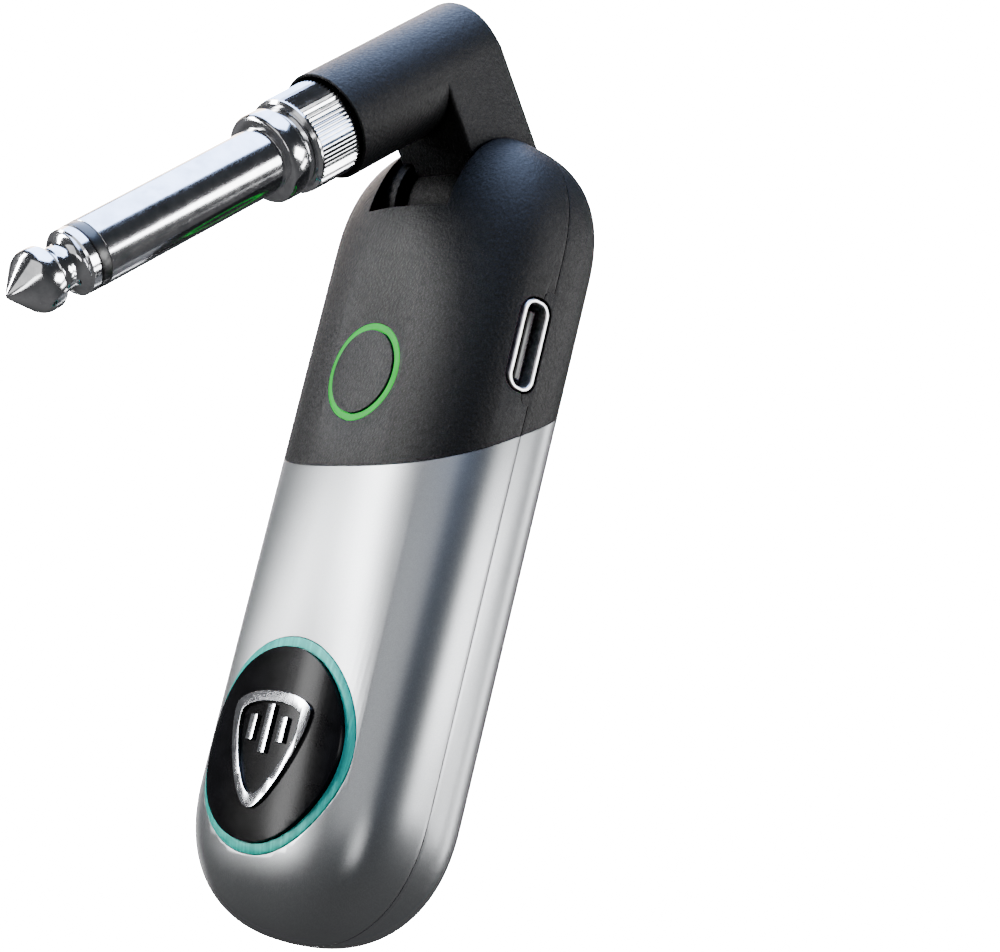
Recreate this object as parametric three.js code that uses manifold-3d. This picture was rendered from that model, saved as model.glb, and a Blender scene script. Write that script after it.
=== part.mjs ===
// A pocket wireless transmitter for an electric guitar, modelled in millimetres with three.js.
// +Z runs up along the case, -Y is the side with the button and +X the side with the charging port.
// The origin is the centre of the plug's shoulder, where it meets a guitar's jack plate.
// The case is two front and two rear mouldings; a folding arm between its prongs carries a small
// plug, and a full-size plug adapter pushes over that.
import * as THREE from "three";
import { mergeVertices } from "three/addons/utils/BufferGeometryUtils.js";
import Module from "manifold-3d";

const wasm = await Module();
wasm.setup();

// ---- Driving dimensions, in millimetres and degrees ------------------------------------------

const CASE = {
  halfWidth: 14.26,
  halfDepth: 8.71,
  squareness: 2.7,
  length: 80,
  wall: 1.6,
  bottomDome: 13.7,
  bottomCurve: 2.32,
  topDome: 13.4,
  topCurve: 2.43,
};
const PARTING = { height: 49.7, slope: 0.665, gap: 0.3 };
const SEAM = { gap: 0.3, jog: 1.1, jogBottom: 52.3, jogTop: 64.0, jogInside: 8 };
const SLOT = { halfWidth: 5.7, floor: 65.4, slope: -0.56, floorWall: 1.8 };
const HINGE = { height: 72.3, tilt: 44.3, axleRadius: 2.0, axleBore: 1.0, halfLength: 8.5 };
const WASHER = { outer: 4.0, inner: 2.3, thickness: 0.15, lift: 0.15 };
const HUB = { radius: 6.8, face: -4.0, relief: 0.3, room: 0.5 };
const ARM = { halfWidth: 5.25, inner: 2.0, outer: 6.5, bend: 4.0, reach: 15.0, eye: 5.7 };
const BARREL = { end: 13.6, socketRadius: 4.98, socketDepth: 3.4, coreRadius: 3.5, coreFloor: 4.7 };
const BUTTON = { height: 53.3, radius: 4.0, proud: 0.5, back: 6.3 };
const LIGHT_RING = { outer: 4.73, inner: 4.25, back: 7.0 };
const BADGE = { height: 17.0, outer: 10.2, inner: 9.3, disc: 9.0, seat: 0.6, pocket: 0.9 };
const FRONT_DISC_PROUD = 0.45;
const REAR_DISC_PROUD = 0.1;
const EMBLEM = {
  thickness: 0.25,
  gap: 0.15,
  line: 1.0,
  stringZ: 1.5,
  stringHalf: 0.25,
  barX: 2.2,
  shortBar: 1.1,
  longBar: 2.2,
};
const WINDOW = { halfWidth: 6.5, top: 56.95, back: 6.6 };
const PORT = { height: 58.1, y: -1.5, length: 8.94, width: 3.26, wall: 0.35, inside: 6.9, face: 14.2 };
const TONGUE = { base: [0.7, 1.7], blade: { halfThickness: 0.35, halfWidth: 3.35, sunk: 0.9 } };
const BOARD = { halfWidth: 10.4, front: -4.4, thickness: 0.8, bottom: 22, top: 61.8, corner: 2 };
const SCREW = { x: 8.2, height: 26, headRadius: 1.4, headHeight: 0.7, shank: 0.7, length: 2.2 };
const BATTERY = { halfWidth: 8.8, front: -2.3, back: 5.1, bottom: 10.5, top: 48, edge: 1.6 };
const SHOULDER = 22.0;
const COLLAR = { start: 10.5, end: 18.9, radius: 4.7, teeth: 40, depth: 0.16, bore: 3.75, floor: 17.3 };
const SLEEVE = {
  radius: 3.175,
  start: 17.5,
  end: 43.5,
  bore: 2.1,
  spigot: 3.0,
  groove: 3.9,
  grooveEnd: 19.8,
  flange: 4.35,
  flangeStart: 20.1,
};
const TIP = { start: 44.5, apex: 52.75, rod: 0.8, rodStart: 31.5 };
const INSULATOR = { start: 31.6, sunk: 0.1 };
const CONTACT = { cup: 1.5, mouth: 1.0, start: 30.1, floor: 30.5, end: 31.2 };
const MINI = {
  base: 3.2,
  baseEnd: 15.6,
  chamfer: 0.4,
  radius: 1.75,
  core: 1.0,
  bore: 0.7,
  rod: 0.4,
  start: 15.8,
  sleeveEnd: 22.4,
  ring: [23.4, 25.2],
  tipStart: 26.2,
  end: 29.8,
};
const MINI_INSULATOR = { start: 16.2, gap: 0.25, sunk: 0.15 };

// Each plug tip's outline as [radius, distance behind its start].
const TIP_PROFILE = [
  [3.15, 0],
  [3.15, 1.6],
  [2.3, 2.2],
  [2.3, 2.9],
  [2.65, 3.5],
  [2.95, 4.2],
  [2.85, 5.2],
  [2.25, 6.1],
  [0.35, 8.05],
];
const MINI_TIP_PROFILE = [
  [1.65, 0],
  [1.65, 0.4],
  [1.15, 1.3],
  [1.65, 1.9],
  [1.25, 3.0],
];
const BOSS = { radius: 1.9, sunk: 0.4 };
const SWITCH = { half: 2.1, height: 1.2, plunger: 0.9, plungerHeight: 1.45 };
const LAMP = {
  halfLength: 0.8,
  halfWidth: 0.4,
  ringHeight: 0.6,
  ringX: 3.6,
  windowHeight: 0.7,
  windowZ: 56,
};
const SHIELD_CAN = { x: [-9, -2], z: [50.5, 59.5], height: 1.8 };
const CHIP_ANTENNA = { x: [-9, -2.5], z: [60.1, 61.5], height: 1.2 };
const FOAM_PAD = { halfWidth: 5.5, z: [15, 44], lift: 0.2, height: 1.0 };

// The room left between two pieces, and the smaller room between a part and what it is fixed to.
const GAP = 0.3;
const FIT = 0.1;

const AROUND_CASE = 40;
const DOME_STEPS = 7;
const ROUND = 24;
const FINE_ROUND = 16;
const CORNER_STEPS = 6;
const FAR = 40;

// ---- Finishes -----------------------------------------------------------------------------

const FINISHES = {
  blackAbs: { color: 0x2c2d2f, roughness: 0.62, metalness: 0 },
  silverPaint: { color: 0xa7a9ab, roughness: 0.34, metalness: 0.6 },
  gloss: { color: 0x060607, roughness: 0.08, metalness: 0 },
  teal: { color: 0x149688, roughness: 0.3, metalness: 0.4 },
  chrome: { color: 0xdcdde0, roughness: 0.08, metalness: 1 },
  steel: { color: 0xb9bbbd, roughness: 0.25, metalness: 1 },
  brass: { color: 0xb4964e, roughness: 0.35, metalness: 1 },
  insulator: { color: 0x0c0c0d, roughness: 0.4, metalness: 0 },
  greenLight: { color: 0x12dd62, roughness: 0.4, metalness: 0 },
  board: { color: 0x1d4a33, roughness: 0.45, metalness: 0 },
  foil: { color: 0x9fa3a6, roughness: 0.4, metalness: 0.7 },
  foam: { color: 0x303030, roughness: 0.95, metalness: 0 },
  ceramic: { color: 0xe8e6df, roughness: 0.5, metalness: 0 },
};

// ---- Making and cutting solids ------------------------------------------------------------

// A closed three.js geometry as a solid that can be joined and cut.
function solid(geometry) {
  const loose = geometry.index ? geometry.toNonIndexed() : geometry.clone();
  loose.deleteAttribute("normal");
  loose.deleteAttribute("uv");
  const merged = mergeVertices(loose, 1e-4);
  return new wasm.Manifold(
    new wasm.Mesh({
      numProp: 3,
      vertProperties: merged.attributes.position.array,
      triVerts: new Uint32Array(merged.index.array),
    }),
  );
}

// A solid as a flat-shaded three.js geometry.
function geometryOf(body) {
  const mesh = body.getMesh();
  const indexed = new THREE.BufferGeometry();
  const positions = new Float32Array(mesh.vertProperties);
  indexed.setAttribute("position", new THREE.BufferAttribute(positions, 3));
  indexed.setIndex(new THREE.BufferAttribute(new Uint32Array(mesh.triVerts), 1));
  const flat = indexed.toNonIndexed();
  flat.computeVertexNormals();
  return flat;
}

function piece(name, body, finish) {
  const material = new THREE.MeshStandardMaterial(FINISHES[finish]);
  const geometry = body.isBufferGeometry ? body : geometryOf(body);
  const mesh = new THREE.Mesh(geometry, material);
  mesh.name = name;
  return mesh;
}

const joined = (first, ...others) => others.reduce((sum, next) => sum.add(next), first);
const cut = (first, ...others) => others.reduce((rest, next) => rest.subtract(next), first);
const common = (first, ...others) => others.reduce((rest, next) => rest.intersect(next), first);

function block([x0, x1], [y0, y1], [z0, z1]) {
  const box = new THREE.BoxGeometry(x1 - x0, y1 - y0, z1 - z0);
  return solid(box.translate((x0 + x1) / 2, (y0 + y1) / 2, (z0 + z1) / 2));
}

const polygon = (corners) => new THREE.Shape(corners.map(([u, v]) => new THREE.Vector2(u, v)));

function extruded(shape, depth) {
  const settings = { depth, bevelEnabled: false, curveSegments: CORNER_STEPS };
  return new THREE.ExtrudeGeometry(shape, settings);
}

// An outline in Y and Z, extruded along X from x0 to x1.
function prismX(shape, x0, x1) {
  const geometry = extruded(shape, x1 - x0);
  const toWorld = new THREE.Matrix4().makeBasis(
    new THREE.Vector3(0, 1, 0),
    new THREE.Vector3(0, 0, 1),
    new THREE.Vector3(1, 0, 0),
  );
  return solid(geometry.applyMatrix4(toWorld).translate(x0, 0, 0));
}

// An outline in X and Z, extruded along Y from y0 to y1.
function prismY(shape, y0, y1) {
  const geometry = extruded(shape, y1 - y0);
  const toWorld = new THREE.Matrix4().makeBasis(
    new THREE.Vector3(1, 0, 0),
    new THREE.Vector3(0, 0, 1),
    new THREE.Vector3(0, -1, 0),
  );
  return solid(geometry.applyMatrix4(toWorld).translate(0, y1, 0));
}

function rodX(radius, x0, x1, y = 0, z = 0, sides = ROUND) {
  const rod = new THREE.CylinderGeometry(radius, radius, x1 - x0, sides);
  return solid(rod.rotateZ(-Math.PI / 2).translate((x0 + x1) / 2, y, z));
}

function rodY(radius, y0, y1, x = 0, z = 0, sides = ROUND) {
  const rod = new THREE.CylinderGeometry(radius, radius, y1 - y0, sides);
  return solid(rod.translate(x, (y0 + y1) / 2, z));
}

function roundedRectangle(width, height, radius, x = 0, y = 0) {
  const [left, right, low, high] = [x - width / 2, x + width / 2, y - height / 2, y + height / 2];
  const shape = new THREE.Shape();
  shape.moveTo(left + radius, low);
  shape.lineTo(right - radius, low);
  shape.absarc(right - radius, low + radius, radius, -Math.PI / 2, 0, false);
  shape.lineTo(right, high - radius);
  shape.absarc(right - radius, high - radius, radius, 0, Math.PI / 2, false);
  shape.lineTo(left + radius, high);
  shape.absarc(left + radius, high - radius, radius, Math.PI / 2, Math.PI, false);
  shape.lineTo(left, low + radius);
  shape.absarc(left + radius, low + radius, radius, Math.PI, 1.5 * Math.PI, false);
  return shape;
}

// A turned piece on the plug's axis: its profile is a list of [radius, distance along the axis].
function turned(profile, sides = ROUND) {
  const points = profile.map(([radius, along]) => new THREE.Vector2(radius, along));
  return new THREE.LatheGeometry(points, sides);
}

// ---- The case -----------------------------------------------------------------------------

const partingHeight = (y) => PARTING.height + PARTING.slope * y;
const slotFloor = (y) => SLOT.floor + SLOT.slope * y;

// The case's outline at each height is a superellipse, which shrinks over a dome at each end.
// Inset moves the whole surface inwards, or outwards where it is negative.
function caseForm(inset) {
  const halfWidth = CASE.halfWidth - inset;
  const halfDepth = CASE.halfDepth - inset;
  const rings = [];
  for (let step = DOME_STEPS - 1; step >= 0; step -= 1) {
    rings.push(domeRing(step, CASE.bottomDome, -(CASE.bottomDome - inset), CASE.bottomCurve));
  }
  for (let step = 0; step < DOME_STEPS; step += 1) {
    const centre = CASE.length - CASE.topDome;
    rings.push(domeRing(step, centre, CASE.topDome - inset, CASE.topCurve));
  }
  const positions = [0, 0, inset];
  for (const { scale, z } of rings) {
    for (let side = 0; side < AROUND_CASE; side += 1) {
      const turn = (side / AROUND_CASE) * 2 * Math.PI;
      positions.push(
        halfWidth * scale * signedPower(Math.cos(turn), 2 / CASE.squareness),
        halfDepth * scale * signedPower(Math.sin(turn), 2 / CASE.squareness),
        z,
      );
    }
  }
  positions.push(0, 0, CASE.length - inset);
  return solid(loft(positions, rings.length));
}

function signedPower(value, power) {
  return Math.sign(value) * Math.abs(value) ** power;
}

function domeRing(step, centre, height, curve) {
  const turn = (step / DOME_STEPS) * (Math.PI / 2);
  return { scale: Math.cos(turn) ** (2 / curve), z: centre + height * Math.sin(turn) ** (2 / curve) };
}

// Rings of AROUND_CASE points between a first and a last pole, joined into one closed surface.
function loft(positions, ringCount) {
  const index = [];
  const last = 1 + ringCount * AROUND_CASE;
  for (let side = 0; side < AROUND_CASE; side += 1) {
    const next = (side + 1) % AROUND_CASE;
    index.push(0, 1 + next, 1 + side);
    for (let ring = 0; ring < ringCount - 1; ring += 1) {
      const low = 1 + ring * AROUND_CASE;
      const high = low + AROUND_CASE;
      index.push(low + side, low + next, high + next, low + side, high + next, high + side);
    }
    index.push(last, last - AROUND_CASE + side, last - AROUND_CASE + next);
  }
  const geometry = new THREE.BufferGeometry();
  geometry.setAttribute("position", new THREE.Float32BufferAttribute(positions, 3));
  geometry.setIndex(index);
  return geometry;
}

// Everything above or below a sloping plane, given as a height for each y.
function aboveSlope(heightAt, offset, halfWidth = FAR) {
  const [near, far] = [heightAt(-FAR) + offset, heightAt(FAR) + offset];
  const outline = [[-FAR, near], [FAR, far], [FAR, 3 * FAR], [-FAR, 3 * FAR]];
  return prismX(polygon(outline), -halfWidth, halfWidth);
}

function belowSlope(heightAt, offset) {
  const [near, far] = [heightAt(-FAR) + offset, heightAt(FAR) + offset];
  const outline = [[-FAR, -FAR], [FAR, -FAR], [FAR, far], [-FAR, near]];
  return prismX(polygon(outline), -FAR, FAR);
}

const skin = caseForm(0);
const frontHalf = block([-FAR, FAR], [-FAR, -SEAM.gap / 2], [-FAR, 3 * FAR]);
const rearHalf = block([-FAR, FAR], [SEAM.gap / 2, FAR], [-FAR, 3 * FAR]);
const upperPart = aboveSlope(partingHeight, PARTING.gap / 2);
const lowerPart = belowSlope(partingHeight, -PARTING.gap / 2);

// The seam steps forward beside the charging port, so that it meets the port's middle.
function seamJog(edge) {
  const overlap = 0.01;
  const y = [-SEAM.jog + edge, SEAM.gap / 2 + overlap];
  return block([SEAM.jogInside, FAR], y, [SEAM.jogBottom, SEAM.jogTop]);
}

function portOutline(extra) {
  const [width, length] = [PORT.width + 2 * extra, PORT.length + 2 * extra];
  const corner = width / 2 - 0.01;
  return roundedRectangle(width, length, corner, PORT.y, PORT.height);
}

const wholeCase = (() => {
  const cavity = common(caseForm(CASE.wall), belowSlope(slotFloor, -SLOT.floorWall));
  const slot = aboveSlope(slotFloor, 0, SLOT.halfWidth);
  const hub = common(rodX(HUB.radius, -SLOT.halfWidth - 1, HUB.face, 0, HINGE.height), skin);
  const pocketEnd = HINGE.halfLength + GAP;
  const axlePocket = rodX(HINGE.axleRadius + FIT, -pocketEnd, pocketEnd, 0, HINGE.height);
  const port = prismX(portOutline(GAP), PORT.inside - 2, FAR);
  return cut(joined(cut(skin, cavity, slot), hub), axlePocket, port);
})();

// Pockets for the badges leave a floor that follows the case's surface.
function badgePocket(side) {
  const reach = side < 0 ? [-FAR, 0] : [0, FAR];
  const bore = rodY(BADGE.outer + GAP, ...reach, 0, BADGE.height, AROUND_CASE);
  return cut(bore, caseForm(BADGE.pocket));
}

function upperFrontShell() {
  const buttonHole = rodY(LIGHT_RING.outer + GAP, -FAR, 0, 0, BUTTON.height);
  return cut(common(wholeCase, upperPart, frontHalf), buttonHole, seamJog(-SEAM.gap / 2));
}

function windowForm(extra) {
  const low = (y) => partingHeight(y) + PARTING.gap - extra * 4;
  const [back, out] = [WINDOW.back - extra * 2, CASE.halfDepth + GAP];
  const top = WINDOW.top + extra;
  const outline = [[back, low(back)], [out, low(out)], [out, top], [back, top]];
  return prismX(polygon(outline), -WINDOW.halfWidth - extra, WINDOW.halfWidth + extra);
}

function upperRearShell() {
  const half = joined(rearHalf, seamJog(SEAM.gap / 2));
  return cut(common(wholeCase, upperPart, half), windowForm(GAP));
}

function lowerFrontShell() {
  const boss = (x) => {
    const [top, clear] = [BOARD.front - GAP, SCREW.shank + GAP / 2];
    const post = rodY(BOSS.radius, -CASE.halfDepth, top, x, SCREW.height, FINE_ROUND);
    const pilot = rodY(clear, BOARD.front - SCREW.length, 0, x, SCREW.height, FINE_ROUND);
    return cut(common(post, caseForm(CASE.wall - BOSS.sunk)), pilot);
  };
  const shell = cut(common(wholeCase, lowerPart, frontHalf), badgePocket(-1));
  return joined(shell, boss(-SCREW.x), boss(SCREW.x));
}

function lowerRearShell() {
  return cut(common(wholeCase, lowerPart, rearHalf), badgePocket(1));
}

// ---- Badges, button and lights --------------------------------------------------------------

// A layer of the case's surface on one side, from an inner to an outer inset.
function layer(form, inner, outer) {
  return cut(common(form, caseForm(outer)), caseForm(inner));
}

function badgeRing(side) {
  const reach = side < 0 ? [-FAR, 0] : [0, FAR];
  const rim = cut(
    rodY(BADGE.outer, ...reach, 0, BADGE.height, AROUND_CASE),
    rodY(BADGE.inner, -FAR, FAR, 0, BADGE.height, AROUND_CASE),
  );
  return layer(rim, BADGE.seat, -REAR_DISC_PROUD);
}

function badgeDisc(side, proud) {
  const reach = side < 0 ? [-FAR, 0] : [0, FAR];
  return layer(rodY(BADGE.disc, ...reach, 0, BADGE.height, AROUND_CASE), BADGE.seat, -proud);
}

// A plectrum's outline with its point down: its point, its two shoulders and the pulls between them.
function plectrum(scale) {
  const [point, shoulder] = [[0, -6.2], [5.4, 3.2]];
  const [pointPull, sidePull, topPull] = [[2.2, -6.2], [5.6, 0.6], [5.2, 5.4]];
  const at = ([x, z]) => [x * scale, z * scale];
  const mirrored = ([x, z]) => [-x * scale, z * scale];
  const shape = new THREE.Shape();
  shape.moveTo(...at(point));
  shape.bezierCurveTo(...at(pointPull), ...at(sidePull), ...at(shoulder));
  shape.bezierCurveTo(...at(topPull), ...mirrored(topPull), ...mirrored(shoulder));
  shape.bezierCurveTo(...mirrored(sidePull), ...mirrored(pointPull), ...at(point));
  return shape;
}

// A raised plectrum with a string and a three-bar level meter across it.
function emblem(side, proud) {
  const reach = side < 0 ? [-FAR, 0] : [0, FAR];
  const { line, stringZ, stringHalf, barX, shortBar, longBar } = EMBLEM;
  const rim = cut(prismY(plectrum(1), ...reach), prismY(plectrum(1 - line / 5), ...reach));
  const strip = block([-FAR, FAR], reach, [stringZ - stringHalf, stringZ + stringHalf]);
  const string = common(strip, prismY(plectrum(0.95), ...reach));
  const bar = (x, half) => block([x - line / 2, x + line / 2], reach, [stringZ - half, stringZ + half]);
  const mark = joined(rim, string, bar(-barX, shortBar), bar(0, longBar), bar(barX, shortBar));
  const inner = -(proud + EMBLEM.gap);
  return layer(mark.translate([0, 0, BADGE.height]), inner, inner - EMBLEM.thickness);
}

function lightRing() {
  const outside = rodY(LIGHT_RING.outer, -FAR, -LIGHT_RING.back, 0, BUTTON.height);
  const inside = rodY(LIGHT_RING.inner, -FAR, 0, 0, BUTTON.height);
  return common(cut(outside, inside), caseForm(-0.05));
}

function buttonCap() {
  return common(rodY(BUTTON.radius, -FAR, -BUTTON.back, 0, BUTTON.height), caseForm(-BUTTON.proud));
}

// ---- Port and electronics -------------------------------------------------------------------

function portShell() {
  const outside = prismX(portOutline(0), PORT.inside, PORT.face);
  return cut(outside, prismX(portOutline(-PORT.wall), PORT.inside + PORT.wall, FAR));
}

function portTongue() {
  const { base, blade } = TONGUE;
  const outline = portOutline(-PORT.wall - GAP / 2);
  const root = prismX(outline, PORT.inside + base[0], PORT.inside + base[1]);
  const y = [PORT.y - blade.halfThickness, PORT.y + blade.halfThickness];
  const z = [PORT.height - blade.halfWidth, PORT.height + blade.halfWidth];
  return joined(root, block([PORT.inside + 1, PORT.face - blade.sunk], y, z));
}

function board() {
  const outline = roundedRectangle(
    2 * BOARD.halfWidth,
    BOARD.top - BOARD.bottom,
    BOARD.corner,
    0,
    (BOARD.top + BOARD.bottom) / 2,
  );
  const plate = prismY(outline, BOARD.front, BOARD.front + BOARD.thickness);
  const hole = (x) => rodY(SCREW.shank + GAP, -FAR, FAR, x, SCREW.height, FINE_ROUND);
  return cut(plate, hole(-SCREW.x), hole(SCREW.x));
}

function boardScrew(x) {
  const back = BOARD.front + BOARD.thickness + FIT / 2;
  const head = rodY(SCREW.headRadius, back, back + SCREW.headHeight, x, SCREW.height, FINE_ROUND);
  const shank = rodY(SCREW.shank, back - SCREW.length, back + FIT, x, SCREW.height, FINE_ROUND);
  return joined(head, shank);
}

function tactSwitch() {
  const { half, height, plunger, plungerHeight } = SWITCH;
  const front = BOARD.front - FIT;
  const z = [BUTTON.height - half, BUTTON.height + half];
  const body = block([-half, half], [front - height, front], z);
  const [top, root] = [front - plungerHeight, front - height / 2];
  return joined(body, rodY(plunger, top, root, 0, BUTTON.height, FINE_ROUND));
}

function lamp(x, z, y0, y1) {
  const { halfLength, halfWidth } = LAMP;
  return block([x - halfLength, x + halfLength], [y0, y1], [z - halfWidth, z + halfWidth]);
}

function batteryCell() {
  const outline = roundedRectangle(
    2 * BATTERY.halfWidth,
    BATTERY.back - BATTERY.front,
    BATTERY.edge,
    0,
    (BATTERY.front + BATTERY.back) / 2,
  );
  const cell = extruded(outline, BATTERY.top - BATTERY.bottom);
  return solid(cell.translate(0, 0, BATTERY.bottom));
}

// ---- The folding arm, in its own frame: +Z along the arm, -Y towards the plug's tip -------------

// The arm's side outline: a straight bar whose back bends in to meet the round eye.
function armOutline() {
  const cornerDistance = Math.hypot(ARM.outer, ARM.bend);
  const leave = Math.PI - Math.asin(ARM.eye / cornerDistance) - Math.atan2(ARM.bend, ARM.outer);
  const arrive = 2 * Math.PI - Math.asin(ARM.inner / ARM.eye);
  const outline = [[ARM.outer, 2 * ARM.reach], [ARM.outer, ARM.bend]];
  const steps = 20;
  for (let step = 0; step <= steps; step += 1) {
    const turn = leave + ((arrive - leave) * step) / steps;
    outline.push([ARM.eye * Math.sin(turn), ARM.eye * Math.cos(turn)]);
  }
  outline.push([-ARM.inner, 2 * ARM.reach]);
  return polygon(outline.reverse());
}

function armHousing() {
  const stadium = new THREE.Shape();
  stadium.moveTo(ARM.halfWidth, -FAR);
  stadium.lineTo(ARM.halfWidth, ARM.reach);
  stadium.absarc(0, ARM.reach, ARM.halfWidth, 0, Math.PI, false);
  stadium.lineTo(-ARM.halfWidth, -FAR);
  const bar = common(prismX(armOutline(), -ARM.halfWidth, ARM.halfWidth), prismY(stadium, -FAR, FAR));
  const barrel = rodY(ARM.halfWidth, -BARREL.end, ARM.outer - 1, 0, ARM.reach);
  const socket = rodY(BARREL.socketRadius, -FAR, -BARREL.end + BARREL.socketDepth, 0, ARM.reach);
  const core = rodY(BARREL.coreRadius, -FAR, -BARREL.coreFloor, 0, ARM.reach);
  const relief = rodX(HUB.radius + HUB.relief, -FAR, HUB.face + HUB.room);
  const axleBore = rodX(HINGE.axleRadius + GAP, -FAR, FAR);
  return cut(joined(bar, barrel), socket, core, relief, axleBore);
}

function ringX(outer, inner, x0, x1) {
  return cut(rodX(outer, x0, x1), rodX(inner, x0 - 1, x1 + 1));
}

// ---- Plug pieces, turned about the plug's axis; lengths are from the arm's middle line ----------

const plugBase = () =>
  turned([
    [0, BARREL.coreFloor + GAP],
    [MINI.base, BARREL.coreFloor + GAP],
    [MINI.base, MINI.baseEnd - MINI.chamfer],
    [MINI.base - MINI.chamfer, MINI.baseEnd],
    [0, MINI.baseEnd],
  ]);

// A tube around the plug's axis.
const tube = (inner, outer, start, end, sides) =>
  turned(
    [
      [inner, start],
      [outer, start],
      [outer, end],
      [inner, end],
      [inner, start],
    ],
    sides,
  );

// The small plug's sleeve and ring contacts, and the insulator that parts them from its tip.
const miniSleeve = () => tube(MINI.core + GAP, MINI.radius, MINI.start, MINI.sleeveEnd, FINE_ROUND);
const miniRing = () => tube(MINI.core + GAP, MINI.radius, ...MINI.ring, FINE_ROUND);

function miniInsulator() {
  const { start, gap, sunk } = MINI_INSULATOR;
  const [ringStart, ringEnd] = MINI.ring;
  const rim = MINI.radius - sunk;
  return turned(
    [
      [MINI.bore, start],
      [MINI.core, start],
      [MINI.core, MINI.sleeveEnd + gap],
      [rim, MINI.sleeveEnd + gap],
      [rim, ringStart - gap],
      [MINI.core, ringStart - gap],
      [MINI.core, ringEnd + gap],
      [rim, ringEnd + gap],
      [rim, MINI.tipStart - gap],
      [MINI.bore, MINI.tipStart - gap],
      [MINI.bore, start],
    ],
    FINE_ROUND,
  );
}

const along = (profile, start) => profile.map(([radius, behind]) => [radius, start + behind]);

const miniTip = () =>
  turned(
    [
      [0, MINI_INSULATOR.start + GAP],
      [MINI.rod, MINI_INSULATOR.start + GAP],
      [MINI.rod, MINI.tipStart],
      ...along(MINI_TIP_PROFILE, MINI.tipStart),
      [0, MINI.end],
    ],
    FINE_ROUND,
  );

// The collar's rim has straight teeth, so that fingers can pull the adapter off.
function knurledCollar() {
  const shape = new THREE.Shape();
  for (let tooth = 0; tooth < 2 * COLLAR.teeth; tooth += 1) {
    const turn = (tooth / (2 * COLLAR.teeth)) * 2 * Math.PI;
    const radius = COLLAR.radius - (tooth % 2) * COLLAR.depth;
    const point = [radius * Math.cos(turn), radius * Math.sin(turn)];
    if (tooth === 0) {
      shape.moveTo(...point);
    } else {
      shape.lineTo(...point);
    }
  }
  const body = prismY(shape, COLLAR.start, COLLAR.end);
  const mouth = rodY(COLLAR.bore, COLLAR.start - 1, COLLAR.floor);
  const seat = rodY(SLEEVE.spigot + GAP, COLLAR.start, COLLAR.end + 1);
  return cut(body, mouth, seat);
}

const adapterSleeve = () =>
  turned([
    [SLEEVE.bore, SLEEVE.start],
    [SLEEVE.spigot, SLEEVE.start],
    [SLEEVE.spigot, COLLAR.end + GAP],
    [SLEEVE.groove, COLLAR.end + GAP],
    [SLEEVE.groove, SLEEVE.grooveEnd],
    [SLEEVE.flange, SLEEVE.flangeStart],
    [SLEEVE.flange, SHOULDER],
    [SLEEVE.radius, SHOULDER],
    [SLEEVE.radius, SLEEVE.end],
    [SLEEVE.bore, SLEEVE.end],
    [SLEEVE.bore, SLEEVE.start],
  ]);

const adapterInsulator = () =>
  turned([
    [TIP.rod + GAP, INSULATOR.start],
    [SLEEVE.bore - GAP, INSULATOR.start],
    [SLEEVE.bore - GAP, SLEEVE.end + GAP],
    [SLEEVE.radius - INSULATOR.sunk, SLEEVE.end + GAP],
    [SLEEVE.radius - INSULATOR.sunk, TIP.start - GAP],
    [TIP.rod + GAP, TIP.start - GAP],
    [TIP.rod + GAP, INSULATOR.start],
  ]);

const adapterTip = () =>
  turned([
    [0, TIP.rodStart],
    [TIP.rod, TIP.rodStart],
    [TIP.rod, TIP.start],
    ...along(TIP_PROFILE, TIP.start),
    [0, TIP.apex],
  ]);

// A sprung cup inside the adapter, which touches the small plug's tip.
const adapterContact = () =>
  turned(
    [
      [0, CONTACT.floor],
      [CONTACT.mouth, CONTACT.floor],
      [CONTACT.mouth, CONTACT.start],
      [CONTACT.cup, CONTACT.start],
      [CONTACT.cup, CONTACT.end],
      [0, CONTACT.end],
    ],
    FINE_ROUND,
  );

// ---- The assembly ---------------------------------------------------------------------------

const onBoard = ({ x, z, height }, behindBoard) => block(x, behindBoard(height), z);

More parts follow.
